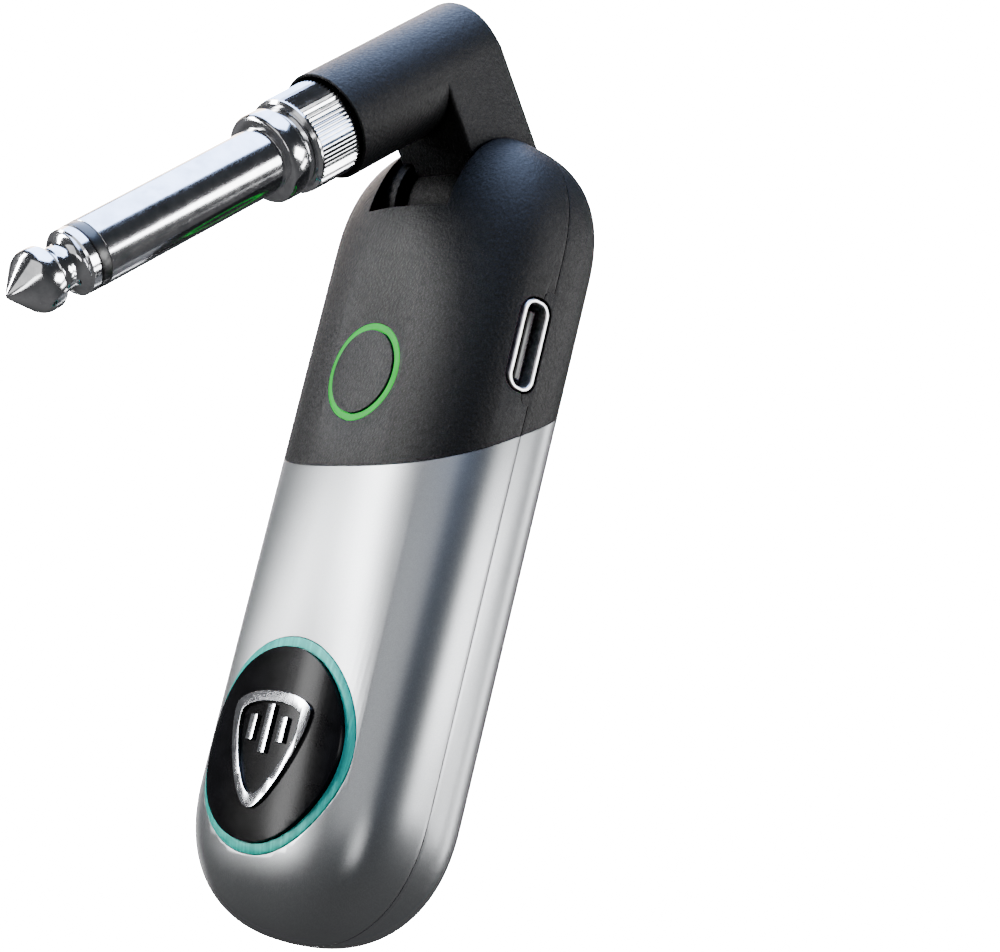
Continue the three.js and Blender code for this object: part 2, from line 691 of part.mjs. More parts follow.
function caseGroup() {
  const group = new THREE.Group();
  const boardBack = BOARD.front + BOARD.thickness;
  const [lampBack, lampZ] = [BOARD.front - FIT, BUTTON.height];
  const { ringX: lampX, ringHeight, windowHeight, windowZ } = LAMP;
  const behindBoard = (height) => [boardBack + FIT, boardBack + FIT + height];
  const padBack = BATTERY.back + FOAM_PAD.lift;
  const { halfWidth: padHalf, height: padHeight, z: padZ } = FOAM_PAD;
  group.add(
    piece("upper_front_shell", upperFrontShell(), "blackAbs"),
    piece("upper_rear_shell", upperRearShell(), "blackAbs"),
    piece("lower_front_shell", lowerFrontShell(), "silverPaint"),
    piece("lower_rear_shell", lowerRearShell(), "silverPaint"),
    piece("front_badge_ring", badgeRing(-1), "teal"),
    piece("front_badge_dome", badgeDisc(-1, FRONT_DISC_PROUD), "gloss"),
    piece("front_emblem", emblem(-1, FRONT_DISC_PROUD), "chrome"),
    piece("rear_badge_ring", badgeRing(1), "teal"),
    piece("rear_badge_disc", badgeDisc(1, REAR_DISC_PROUD), "gloss"),
    piece("rear_emblem", emblem(1, REAR_DISC_PROUD), "chrome"),
    piece("button_light_ring", lightRing(), "greenLight"),
    piece("rear_light_window", common(windowForm(0), skin), "greenLight"),
    piece("button_cap", buttonCap(), "blackAbs"),
    piece("usb_port_shell", portShell(), "steel"),
    piece("usb_port_tongue", portTongue(), "insulator"),
    piece("main_circuit_board", board(), "board"),
    piece("board_screw_left", boardScrew(-SCREW.x), "steel"),
    piece("board_screw_right", boardScrew(SCREW.x), "steel"),
    piece("tact_switch", tactSwitch(), "insulator"),
    piece("ring_lamp_left", lamp(-lampX, lampZ, lampBack - ringHeight, lampBack), "ceramic"),
    piece("ring_lamp_right", lamp(lampX, lampZ, lampBack - ringHeight, lampBack), "ceramic"),
    piece("window_lamp", lamp(0, windowZ, ...behindBoard(windowHeight)), "ceramic"),
    piece("radio_shield_can", onBoard(SHIELD_CAN, behindBoard), "steel"),
    piece("chip_antenna", onBoard(CHIP_ANTENNA, behindBoard), "ceramic"),
    piece("battery_cell", batteryCell(), "foil"),
    piece("battery_foam_pad", block([-padHalf, padHalf], [padBack, padBack + padHeight], padZ), "foam"),
  );
  return group;
}

function plugLine() {
  const group = new THREE.Group();
  group.position.set(0, 0, ARM.reach);
  group.rotation.x = Math.PI;
  group.add(
    piece("plug_base", plugBase(), "chrome"),
    piece("mini_plug_sleeve", miniSleeve(), "chrome"),
    piece("mini_plug_insulator", miniInsulator(), "insulator"),
    piece("mini_plug_ring", miniRing(), "chrome"),
    piece("mini_plug_tip", miniTip(), "chrome"),
    piece("adapter_collar", knurledCollar(), "chrome"),
    piece("adapter_sleeve", adapterSleeve(), "chrome"),
    piece("adapter_insulator", adapterInsulator(), "insulator"),
    piece("adapter_tip", adapterTip(), "chrome"),
    piece("adapter_contact", adapterContact(), "brass"),
  );
  return group;
}

function armGroup() {
  const group = new THREE.Group();
  const { axleRadius, axleBore, halfLength } = HINGE;
  const { outer, inner, thickness, lift } = WASHER;
  const [leftFace, rightFace] = [HUB.face + HUB.room - lift, ARM.halfWidth + lift];
  group.add(
    piece("arm_housing", armHousing(), "blackAbs"),
    piece("hinge_axle", ringX(axleRadius, axleBore, -halfLength, halfLength), "steel"),
    piece("hinge_washer_left", ringX(outer, inner, leftFace - thickness, leftFace), "steel"),
    piece("hinge_washer_right", ringX(outer, inner, rightFace, rightFace + thickness), "steel"),
    plugLine(),
  );
  return group;
}

const tilt = THREE.MathUtils.degToRad(HINGE.tilt);
const arm = armGroup();
arm.position.set(0, 0, HINGE.height);
arm.rotation.x = tilt;

// The plug's shoulder, found from the hinge along the tilted arm and then along the plug.
const shoulderY = -ARM.reach * Math.sin(tilt) - SHOULDER * Math.cos(tilt);
const shoulderZ = HINGE.height + ARM.reach * Math.cos(tilt) - SHOULDER * Math.sin(tilt);

const group = new THREE.Group();
group.position.set(0, -shoulderY, -shoulderZ);
group.add(caseGroup(), arm);

export default group;
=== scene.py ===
"""Looks for a pocket wireless guitar transmitter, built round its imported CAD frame.

Sizes are in millimetres, and angles in degrees, in the case's own frame, whose origin is the middle
of the case's lower end. Blender works in metres in the CAD frame, so each piece is moved there as it
is handed over.
"""

import logging
import math
from dataclasses import dataclass, field
from enum import Enum
from math import radians
from typing import Callable, Sequence

import bpy
from mathutils import Matrix, Vector


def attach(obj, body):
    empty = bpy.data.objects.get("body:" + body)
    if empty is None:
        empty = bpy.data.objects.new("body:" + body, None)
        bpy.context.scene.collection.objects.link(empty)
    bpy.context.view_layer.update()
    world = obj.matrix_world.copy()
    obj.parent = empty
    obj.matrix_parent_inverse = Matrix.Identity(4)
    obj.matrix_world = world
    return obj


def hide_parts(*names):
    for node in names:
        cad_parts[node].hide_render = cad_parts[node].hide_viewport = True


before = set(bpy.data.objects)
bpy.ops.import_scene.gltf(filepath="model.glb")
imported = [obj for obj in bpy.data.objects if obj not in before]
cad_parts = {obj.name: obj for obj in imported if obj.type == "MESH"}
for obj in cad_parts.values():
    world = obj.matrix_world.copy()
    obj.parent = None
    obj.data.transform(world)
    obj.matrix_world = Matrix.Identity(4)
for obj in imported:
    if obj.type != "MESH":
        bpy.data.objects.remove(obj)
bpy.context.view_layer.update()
LOG = logging.getLogger("transmitter")

MM = 0.001
FAR = 45.0
CASE_ORIGIN = Vector((0.0, 26.2215, -67.6703)) * MM
ALONG_X = Matrix.Rotation(radians(90), 4, "Y") @ Matrix.Rotation(radians(90), 4, "Z")
TURN_X = Matrix.Rotation(radians(90), 4, "X")

Solid = bpy.types.Object
Material = bpy.types.Material
Tree = bpy.types.NodeTree
Node = bpy.types.Node
Socket = bpy.types.NodeSocket
Inputs = dict[str | int, object]
Pair = tuple[float, float]
Place = tuple[float, float, float]
Outline = Sequence[Pair]
Test = Callable[[Vector, Vector], bool]


class Body(Enum):
    """The CAD bodies that pieces ride on."""

    CASE = "case"
    BUTTON = "button"
    ARM = "arm"
    ADAPTER = "adapter"


class Cut(Enum):
    """What a tool solid does to the piece it meets."""

    REMOVE = "DIFFERENCE"
    JOIN = "UNION"
    KEEP = "INTERSECT"


# ---- Colour and nodes ----


def linear(hex_colour: str) -> tuple[float, float, float, float]:
    """Turns an sRGB hex colour into the linear values that shaders use.

    Args:
        hex_colour: A leading # and six hex digits.

    Returns:
        Linear red, green and blue, with an alpha of 1.
    """
    channels = [int(hex_colour[i : i + 2], 16) / 255 for i in (1, 3, 5)]
    values = [c / 12.92 if c <= 0.04045 else ((c + 0.055) / 1.055) ** 2.4 for c in channels]
    return (*values, 1.0)


def fill(node: Node, inputs: Inputs) -> None:
    """Fills or links a node's inputs.

    Args:
        node: The node.
        inputs: Socket name or number to a value, or to an output socket to link from.
    """
    for name, value in inputs.items():
        if isinstance(value, Socket):
            node.id_data.links.new(value, node.inputs[name])
        else:
            node.inputs[name].default_value = value


def add_node(
    tree: Tree, kind: str, inputs: Inputs | None = None, **settings: object
) -> Node:
    """Adds one node, sets its options, and fills or links its inputs.

    Args:
        tree: The node tree to add to.
        kind: The node's type name after ShaderNode, such as TexNoise.
        inputs: Socket name or number to a value or an output socket.
        **settings: Options of the node itself.

    Returns:
        The new node.
    """
    node = tree.nodes.new(f"ShaderNode{kind}")
    for name, value in settings.items():
        setattr(node, name, value)
    fill(node, inputs or {})
    return node


def tones(tree: Tree, pattern: Socket, *stops: tuple[float, str]) -> Socket:
    """Gives colours that follow a pattern.

    Args:
        tree: The node tree to add to.
        pattern: Values from 0 to 1.
        *stops: Position and hex colour of each stop, in order.

    Returns:
        The colour socket.
    """
    ramp = add_node(tree, "ValToRGB", {"Fac": pattern})
    elements = ramp.color_ramp.elements
    while len(elements) < len(stops):
        elements.new(1.0)
    for element, (position, colour) in zip(elements, stops):
        element.position = position
        element.color = linear(colour)
    return ramp.outputs["Color"]


class Recipe:
    """A principled material in the making, with the steps that finishes share."""

    def __init__(self, name: str) -> None:
        """Starts the material.

        Args:
            name: The material's name, in a maker's words.
        """
        self.material = bpy.data.materials.new(name)
        self.material.use_nodes = True
        self.tree = self.material.node_tree
        self.tree.nodes.clear()
        self.shader = add_node(self.tree, "BsdfPrincipled")
        add_node(self.tree, "OutputMaterial", {"Surface": self.shader.outputs["BSDF"]})
        self.place = add_node(self.tree, "TexCoord").outputs["Object"]

    def noise(self, grain_mm: float, detail: float, roughness: float = 0.5) -> Socket:
        """Gives noise with grains of a width in millimetres."""
        scale = 1.0 / (grain_mm * MM)
        inputs = {"Vector": self.place, "Scale": scale, "Detail": detail, "Roughness": roughness}
        return add_node(self.tree, "TexNoise", inputs).outputs["Fac"]

    def cells(self, grain_mm: float, feature: str = "F1") -> Socket:
        """Gives the distances within cells of a width in millimetres."""
        inputs = {"Vector": self.place, "Scale": 1.0 / (grain_mm * MM)}
        return add_node(self.tree, "TexVoronoi", inputs, feature=feature).outputs["Distance"]

    def tones(self, pattern: Socket, *stops: tuple[float, str]) -> Socket:
        """Gives colours that follow a pattern, from stops of position and hex colour."""
        return tones(self.tree, pattern, *stops)

    def spread(
        self, pattern: Socket, ends: Pair, start: float = 0.0, stop: float = 1.0
    ) -> Socket:
        """Maps a pattern's values from start to stop onto values between two ends."""
        inputs = {"From Min": start, "From Max": stop, "To Min": ends[0], "To Max": ends[1]}
        return add_node(self.tree, "MapRange", {"Value": pattern, **inputs}).outputs["Result"]

    def relief(self, height: Socket, strength: float, depth_mm: float) -> Socket:
        """Gives a normal that follows a pattern's height."""
        inputs = {"Height": height, "Strength": strength, "Distance": depth_mm * MM}
        return add_node(self.tree, "Bump", inputs).outputs["Normal"]

    def mottle(self, pattern: Socket, roughness: Pair, *stops: tuple[float, str]) -> None:
        """Makes the colour and the roughness follow one pattern."""
        colour, shine = self.tones(pattern, *stops), self.spread(pattern, roughness)
        fill(self.shader, {"Base Color": colour, "Roughness": shine})

    def finish(self, inputs: Inputs) -> Material:
        """Fills the shader's own sockets and gives the material."""
        fill(self.shader, inputs)
        return self.material


# ---- Finishes ----


@dataclass(frozen=True)
class Finish:
    """A surface finish: its material's name and the material slot for its pieces."""

    name: str
    slot: str

    def build(self) -> Material:
        """Makes the material. Each finish has its own."""
        raise NotImplementedError

    def dress(self, piece: Solid) -> None:
        """Puts the finish on a piece in place of what it had."""
        piece.data.materials.clear()
        piece.data.materials.append(bpy.data.materials.get(self.name) or self.build())


@dataclass(frozen=True)
class SparkErodedAbs(Finish):
    """Injection-moulded ABS from a spark-eroded tool: charcoal, with a fine leathery grain and painted
    shade in its recesses.
    """

    base: str = "#050506"
    worn: str = "#18191B"
    grain_mm: float = 0.13
    relief: float = 1.0
    roughness: Pair = (0.42, 0.6)
    shine: float = 0.2
    # How far the painted shade in recesses, creases and the fork slot reaches.
    painted_shade_reach_mm: float = 8.0

    def build(self) -> Material:
        """Makes the grain from two sizes of noise, and paints shade into deep recesses: ambient occlusion
        darkens the colour and takes the shine out where shade falls.
        """
        recipe = Recipe(self.name)
        fine = recipe.noise(self.grain_mm, 3.0, 0.6)
        pits = recipe.cells(self.grain_mm * 2.2, "SMOOTH_F1")
        height = add_node(recipe.tree, "Math", {0: fine, 1: pits}, operation="ADD")
        colour = recipe.tones(fine, (0.38, self.base), (0.66, self.worn))
        # Painted shade: ambient occlusion darkens the colour and lowers the shine in creases, recesses and
        # the fork slot.
        painted_shade_inputs = {"Color": colour, "Distance": self.painted_shade_reach_mm * MM}
        painted_recess_shade = add_node(recipe.tree, "AmbientOcclusion", painted_shade_inputs, samples=6)
        return recipe.finish(
            {
                "Base Color": painted_recess_shade.outputs["Color"],
                "Specular IOR Level": recipe.spread(painted_recess_shade.outputs["AO"], (0.01, self.shine), 0.5, 0.9),
                "Roughness": recipe.spread(pits, self.roughness),
                "Normal": recipe.relief(height.outputs["Value"], self.relief, 0.05),
            }
        )


@dataclass(frozen=True)
class SatinMetallicPaint(Finish):
    """Sprayed satin silver with aluminium flake: broad soft bands of light, and a faint peel."""

    base: str = "#8F9193"
    flake: str = "#9C9EA0"
    flake_mm: float = 0.09
    haze_mm: float = 6.0
    peel_mm: float = 1.1
    roughness: Pair = (0.3, 0.37)
    metallic: float = 0.9

    def build(self) -> Material:
        """Makes flake speckle in the colour and a very shallow orange peel in the relief."""
        recipe = Recipe(self.name)
        flake = recipe.cells(self.flake_mm)
        return recipe.finish(
            {
                "Base Color": recipe.tones(flake, (0.15, self.flake), (0.6, self.base)),
                "Roughness": recipe.spread(recipe.noise(self.haze_mm, 4.0), self.roughness),
                "Normal": recipe.relief(recipe.noise(self.peel_mm, 2.0), 0.06, 0.03),
                "Metallic": self.metallic,
                "Coat Weight": 0.25,
                "Coat Roughness": 0.3,
            }
        )


@dataclass(frozen=True)
class PolishedPlate(Finish):
    """Nickel-chrome or steel that has been turned and polished, with hairline wear."""

    base: str = "#DADADC"
    shade: str = "#BFC0C3"
    roughness: Pair = (0.1, 0.15)
    wear_mm: float = 1.6

    def build(self) -> Material:
        """Makes slow changes of tone and haze, as on a plug that has been handled."""
        recipe = Recipe(self.name)
        wear = recipe.noise(self.wear_mm, 6.0, 0.62)
        recipe.mottle(wear, self.roughness, (0.35, self.shade), (0.6, self.base))
        return recipe.finish({"Metallic": 1.0})


@dataclass(frozen=True)
class MouldedGloss(Finish):
    """Plastic moulded or lacquered to a shine, with faint handling haze."""

    base: str = "#050506"
    haze: str = "#0B0B0D"
    roughness: Pair = (0.16, 0.26)
    coat: float = 0.0
    shine: float = 0.05
    haze_mm: float = 2.5

    def build(self) -> Material:
        """Makes a deep even colour whose haze only shows in its highlights."""
        recipe = Recipe(self.name)
        haze = recipe.noise(self.haze_mm, 5.0)
        recipe.mottle(haze, self.roughness, (0.4, self.base), (0.7, self.haze))
        return recipe.finish(
            {"Coat Weight": self.coat, "Coat Roughness": 0.06, "Specular IOR Level": self.shine}
        )


@dataclass(frozen=True)
class BrushedAnodising(Finish):
    """Teal anodised trim, brushed across one way: short streaks are smoother and catch the light, and a
    painted glint lightens their teal.
    """

    base: str = "#008A7F"
    painted_glint: str = "#12AC9F"
    streak_mm: Pair = (0.35, 6.0)
    slant: float = 28.0
    roughness: Pair = (0.55, 0.35)

    def build(self) -> Material:
        """Makes the streaks from noise that is drawn out along a slant; the smoother roughness along them
        is real, and their lighter teal is a painted glint.
        """
        recipe = Recipe(self.name)
        across, along = (1.0 / (width * MM) for width in self.streak_mm)
        stretch = {"Rotation": (0.0, radians(self.slant), 0.0), "Scale": (across, 1.0, along)}
        slant = add_node(recipe.tree, "Mapping", {"Vector": recipe.place, **stretch}).outputs["Vector"]
        inputs = {"Vector": slant, "Scale": 1.0, "Detail": 5.0}
        streak = add_node(recipe.tree, "TexNoise", inputs).outputs["Fac"]
        # Painted glint: the streaks' lighter teal stands in for light caught along the brushing.
        recipe.mottle(streak, self.roughness, (0.45, self.base), (0.72, self.painted_glint))
        return recipe.finish({"Metallic": 0.15, "Specular IOR Level": 0.25})


@dataclass(frozen=True)
class LitGuide(Finish):
    """A frosted acrylic light guide with a green lamp behind it: bright, and brightest in its body."""

    base: str = "#00200A"
    glow: str = "#00FF4C"
    edge: str = "#00EC40"
    strength: float = 0.75
    frost_mm: float = 1.8

    def build(self) -> Material:
        """Makes a glow that is a little uneven, as a frosted guide's is."""
        recipe = Recipe(self.name)
        frost = recipe.noise(self.frost_mm, 3.0)
        return recipe.finish(
            {
                "Emission Color": recipe.tones(frost, (0.3, self.edge), (0.65, self.glow)),
                "Emission Strength": self.strength,
                "Base Color": linear(self.base),
                "Roughness": 0.5,
                "Specular IOR Level": 0.1,
            }
        )


@dataclass(frozen=True)
class LitCyclorama(Finish):
    """A white translucent surround with lamps behind it."""

    strength: float = 40.0
    haze_mm: float = 1250.0

    def build(self) -> Material:
        """Makes an even glow with the faintest change of tone."""
        recipe = Recipe(self.name)
        haze = recipe.noise(self.haze_mm, 1.0)
        return recipe.finish(
            {
                "Emission Color": recipe.tones(haze, (0.3, "#FFFFFF"), (0.7, "#FEFEFE")),
                "Emission Strength": self.strength,
                "Base Color": linear("#000000"),
                "Specular IOR Level": 0.0,
            }
        )


@dataclass(frozen=True)
class PlainSpeckled(Finish):
    """A plain working surface, such as resist, ceramic, foam, foil, brass or an opal table."""

    base: str = "#FFFFFF"
    speck: str = "#E0E0E0"
    speck_mm: float = 0.5
    roughness: Pair = (0.4, 0.6)
    metallic: float = 0.0
    relief: float = 0.1
    glow: float = 0.0

    def build(self) -> Material:
        """Makes a two-tone speckle with a relief of the same grain."""
        recipe = Recipe(self.name)
        speck = recipe.noise(self.speck_mm, 4.0)
        recipe.mottle(speck, self.roughness, (0.4, self.base), (0.65, self.speck))
        normal = recipe.relief(speck, self.relief, 0.05)
        return recipe.finish({"Normal": normal, "Metallic": self.metallic, "Emission Strength": self.glow})


GRAINED_ABS = SparkErodedAbs("charcoal ABS, spark-eroded grain", "black_abs")
SILVER_PAINT = SatinMetallicPaint("satin silver flake paint on ABS", "silver_paint")
PIANO_BLACK = MouldedGloss("piano black lacquered ABS", "gloss_black")
INSULATOR = MouldedGloss(
    "black acetal, turned", "insulator_black", "#0B0B0C", "#161617", (0.3, 0.42), 0.1, 0.5, 0.6
)
TEAL_TRIM = BrushedAnodising("teal anodised aluminium, brushed", "teal_trim")
PLUG_CHROME = PolishedPlate("nickel-chrome plate on brass, polished", "chrome_plug")
EMBLEM_CHROME = PolishedPlate(
    "chrome plate on ABS, satin edge", "chrome_trim", "#B9BABE", "#A3A4A8", (0.1, 0.18), 0.8
)
PORT_STEEL = PolishedPlate(
    "bright stamped stainless steel", "bright_steel", "#F0F0F0", "#D8D8D8", (0.25, 0.36), 0.7
)
GREEN_GUIDE = LitGuide("frosted acrylic, lit green", "green_light")
GREEN_WINDOW = LitGuide(
    "frosted acrylic, dimly lit green", "green_light", "#00501A", "#00C838", "#00A82C", 0.22
)
CONTACT_BRASS = PlainSpeckled(
    "spring brass, plain", "contact_brass", "#C9A24B", "#AA8235", 0.6, (0.22, 0.35), 1.0, 0.03
)
SOLDER_RESIST = PlainSpeckled(
    "green solder resist on glass epoxy", "circuit_board", "#16482F", "#1F5E3E", 0.35, (0.3, 0.45)
)
POUCH_FOIL = PlainSpeckled(
    "aluminium laminate pouch", "battery_foil", "#A5A8AB", "#8D9093", 1.2, (0.3, 0.45), 0.8, 0.25
)
CELL_FOAM = PlainSpeckled(
    "open-cell foam", "black_foam", "#2A2A2B", "#161617", 0.4, (0.85, 0.95), 0.0, 0.8
)
FIRED_CERAMIC = PlainSpeckled(
    "fired alumina", "white_ceramic", "#E8E6DF", "#D9D6CC", 0.3, (0.45, 0.6)
)
OPAL_TABLE = PlainSpeckled(
    "opal acrylic table, lit from below", "stage", "#D8D8D8", "#D2D2D2", 6.0, (0.6, 0.75), 0.0, 0.02, 2.5
)
CYCLORAMA = LitCyclorama("white translucent cyclorama, lit from behind", "stage")


# ---- A modeller's moves, each done with Blender's own operators ----


def clear_selection() -> None:
    """Leaves edit mode and deselects everything, so that an operator acts only on what it makes next."""
    if bpy.context.object and bpy.context.object.mode != "OBJECT":
        bpy.ops.object.mode_set(mode="OBJECT")
    bpy.ops.object.select_all(action="DESELECT")


def take(piece: Solid) -> None:
    """Makes one object the only selected and active one."""
    clear_selection()
    piece.select_set(True)
    bpy.context.view_layer.objects.active = piece


def added(name: str) -> Solid:
    """Names the object that an operator has just added."""
    piece = bpy.context.object
    piece.name = name
    return piece


def pick(piece: Solid, kind: str, test: Test) -> None:
    """Enters edit mode with the faces, edges or vertices selected that pass a test.

    Args:
        piece: The object to edit.
        kind: FACE, EDGE or VERT.
        test: Takes the element's middle and its normal (an edge's direction) in object space.
    """
    take(piece)
    mesh = piece.data
    bpy.ops.object.mode_set(mode="EDIT")
    bpy.ops.mesh.select_mode(type=kind)
    bpy.ops.mesh.select_all(action="DESELECT")
    bpy.ops.object.mode_set(mode="OBJECT")
    if kind == "FACE":
        for face in mesh.polygons:
            face.select = test(face.center, face.normal)
    elif kind == "EDGE":
        for edge in mesh.edges:
            a, b = (mesh.vertices[i].co for i in edge.vertices)
            edge.select = test((a + b) / 2, (b - a).normalized())
    else:
        for vertex in mesh.vertices:
            vertex.select = test(vertex.co, vertex.normal)
    bpy.ops.object.mode_set(mode="EDIT")


def round_picked(piece: Solid, width: float, segments: int, test: Test) -> None:
    """Rounds the edges that pass a test.

    Args:
        piece: The object to change.
        width: How far the round reaches from the edge.
        segments: Steps in the round.
        test: Takes the edge's middle and direction in object space.
    """
    pick(piece, "EDGE", test)
    bpy.ops.mesh.bevel(offset=width * MM, segments=segments, affect="EDGES")
    bpy.ops.object.mode_set(mode="OBJECT")


def pull(step: Sequence[float]) -> None:
    """Extrudes what is selected by a step in metres."""
    bpy.ops.mesh.extrude_region_move(TRANSFORM_OT_translate={"value": step})


def settle(piece: Solid) -> Solid:
    """Puts the piece's place into its mesh, so that its object sits at the origin, unturned."""
    take(piece)
    bpy.ops.object.transform_apply(location=True, rotation=True, scale=True)
    return piece


def tidy_mesh(piece: Solid) -> None:
    """Merges doubles and turns the faces outwards."""
    take(piece)
    bpy.ops.object.mode_set(mode="EDIT")
    bpy.ops.mesh.select_all(action="SELECT")
    bpy.ops.mesh.remove_doubles(threshold=0.002 * MM)
    bpy.ops.mesh.normals_make_consistent(inside=False)
    bpy.ops.object.mode_set(mode="OBJECT")


def cube(name: str, low: Sequence[float], high: Sequence[float]) -> Solid:
    """Adds a box.

    Args:
        name: The object's name.
        low: Lowest corner.
        high: Highest corner.

    Returns:
        The box, with its place in its mesh.
    """
    clear_selection()
    middle = [(a + b) / 2 * MM for a, b in zip(low, high)]
    sides = [(b - a) * MM for a, b in zip(low, high)]
    bpy.ops.mesh.primitive_cube_add(size=1.0, location=middle, scale=sides)
    return settle(added(name))


def rod(name: str, radius: float, start: Sequence[float], end: Sequence[float], sides: int = 96) -> Solid:
    """Adds a cylinder.

    Args:
        name: The object's name.
        radius: Its radius.
        start: Middle of its first end.
        end: Middle of its other end.
        sides: How many sides it has.

    Returns:
        The cylinder, with its place in its mesh.
    """
    clear_selection()
    a, b = Vector(start) * MM, Vector(end) * MM
    turn = (b - a).to_track_quat("Z", "Y").to_euler()
    bpy.ops.mesh.primitive_cylinder_add(
        vertices=sides, radius=radius * MM, depth=(b - a).length, location=(a + b) / 2, rotation=turn
    )
    return settle(added(name))


def copy_of(piece: Solid, name: str) -> Solid:
    """Copies a piece with a mesh of its own."""
    twin = piece.copy()
    twin.data = piece.data.copy()
    twin.name = name
    bpy.context.scene.collection.objects.link(twin)
    return twin


def discard(*pieces: Solid) -> None:
    """Removes tool solids and their meshes."""
    for piece in pieces:
        mesh = piece.data
        bpy.data.objects.remove(piece)
        bpy.data.meshes.remove(mesh)


def modify(piece: Solid, kind: str, **settings: object) -> None:
    """Adds a modifier to a piece and applies it.

    Args:
        piece: The object to change.
        kind: The modifier's type name.
        **settings: The modifier's options.
    """
    take(piece)
    modifier = piece.modifiers.new(kind.lower(), kind)
    for name, value in settings.items():
        setattr(modifier, name, value)
    bpy.ops.object.modifier_apply(modifier=modifier.name)


def combine(piece: Solid, cut: Cut, *tools: Solid) -> None:
    """Cuts or joins a piece with tool solids, and discards them."""
    for tool in tools:
        modify(piece, "BOOLEAN", object=tool, operation=cut.value, solver="MANIFOLD")
    discard(*tools)


def ease_edges(piece: Solid, width: float, segments: int = 3, angle: float = 40.0) -> None:
    """Rounds every edge that is sharper than an angle."""
    modify(
        piece,
        "BEVEL",
        width=width * MM,
        segments=segments,
        limit_method="ANGLE",
        angle_limit=radians(angle),
        use_clamp_overlap=True,
        miter_outer="MITER_ARC",
        harden_normals=False,
    )


def hand_over(piece: Solid, body: Body, finish: Finish, node: str = "", angle: float = 35.0) -> None:
    """Moves a finished piece into the CAD frame, shades it, dresses it and gives it to the frame.

    Args:
        piece: The finished mesh, named for the CAD node that it stands for, with _look after it.
        body: The body that it rides on.
        finish: Its surface, which also names its material slot.
        node: The CAD node, where the piece has a name of its own.
        angle: Edges sharper than this stay crisp.
    """
    piece.location = piece.location + CASE_ORIGIN
    settle(piece)
    bpy.ops.object.shade_smooth_by_angle(angle=radians(angle))
    finish.dress(piece)
    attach(piece, body.value)
    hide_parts(node or piece.name.removesuffix("_look"))
    LOG.info("%s rides on %s in %s", piece.name, body.value, finish.name)


def chain(name: str, points: Sequence[Vector]) -> Solid:
    """Starts a piece as one point and extrudes it from corner to corner.

    Args:
        name: The object's name.
        points: The corners, in metres.

    Returns:
        The piece, still in edit mode, with all of it selected.
    """
    clear_selection()
    bpy.ops.mesh.primitive_plane_add(size=MM, location=(0, 0, 0))
    piece = added(name)
    bpy.ops.object.mode_set(mode="EDIT")
    bpy.ops.mesh.select_mode(type="VERT")
    bpy.ops.mesh.select_all(action="SELECT")
    bpy.ops.mesh.merge(type="CENTER")
    bpy.ops.transform.translate(value=points[0])
    for previous, corner in zip(points, points[1:]):
        pull(corner - previous)
    bpy.ops.mesh.select_all(action="SELECT")
    return piece


def turned(name: str, profile: Outline, place: Matrix, steps: int = 128, ease: float = 0.0) -> Solid:
    """Turns a closed profile about the Z axis of a place, as on a lathe.

    Args:
        name: The object's name.
        profile: Radius and distance along the axis of each corner. It starts and
            ends on the axis, or closes on itself.
        place: Where the turned piece's own axes lie.
        steps: Sides round the axis.
        ease: How much its sharp edges are rounded.

    Returns:
        The turned piece, with its place in its mesh.
    """
    piece = chain(name, [Vector((radius, 0.0, along)) * MM for radius, along in profile])
    bpy.ops.mesh.spin(steps=steps, angle=2 * math.pi, center=(0, 0, 0), axis=(0, 0, 1))
    tidy_mesh(piece)
    if ease:
        ease_edges(piece, ease, 3, 28.0)
    piece.matrix_world = place
    return settle(piece)


def drawn(name: str, corners: Outline, depth: Pair, place: Matrix) -> Solid:
    """Draws a flat outline point by point, fills it and pulls it into a solid.

    Args:
        name: The object's name.
        corners: The outline in the place's X and Y.
        depth: Where the solid starts and ends along the place's Z.
        place: Where the solid's own axes lie.

    Returns:
        The solid, with its place in its mesh.
    """
    piece = chain(name, [Vector((u, v, depth[0])) * MM for u, v in corners])
    bpy.ops.mesh.edge_face_add()
    pull((0, 0, (depth[1] - depth[0]) * MM))
    tidy_mesh(piece)
    piece.matrix_world = place
    return settle(piece)


def arc(centre: Pair, radius: float, start: float, end: float, steps: int = 12) -> Outline:
    """Gives points round part of a circle, between two angles."""
    angles = [radians(start + (end - start) * i / steps) for i in range(steps + 1)]
    return [(centre[0] + radius * math.cos(a), centre[1] + radius * math.sin(a)) for a in angles]


# ---- The case ----


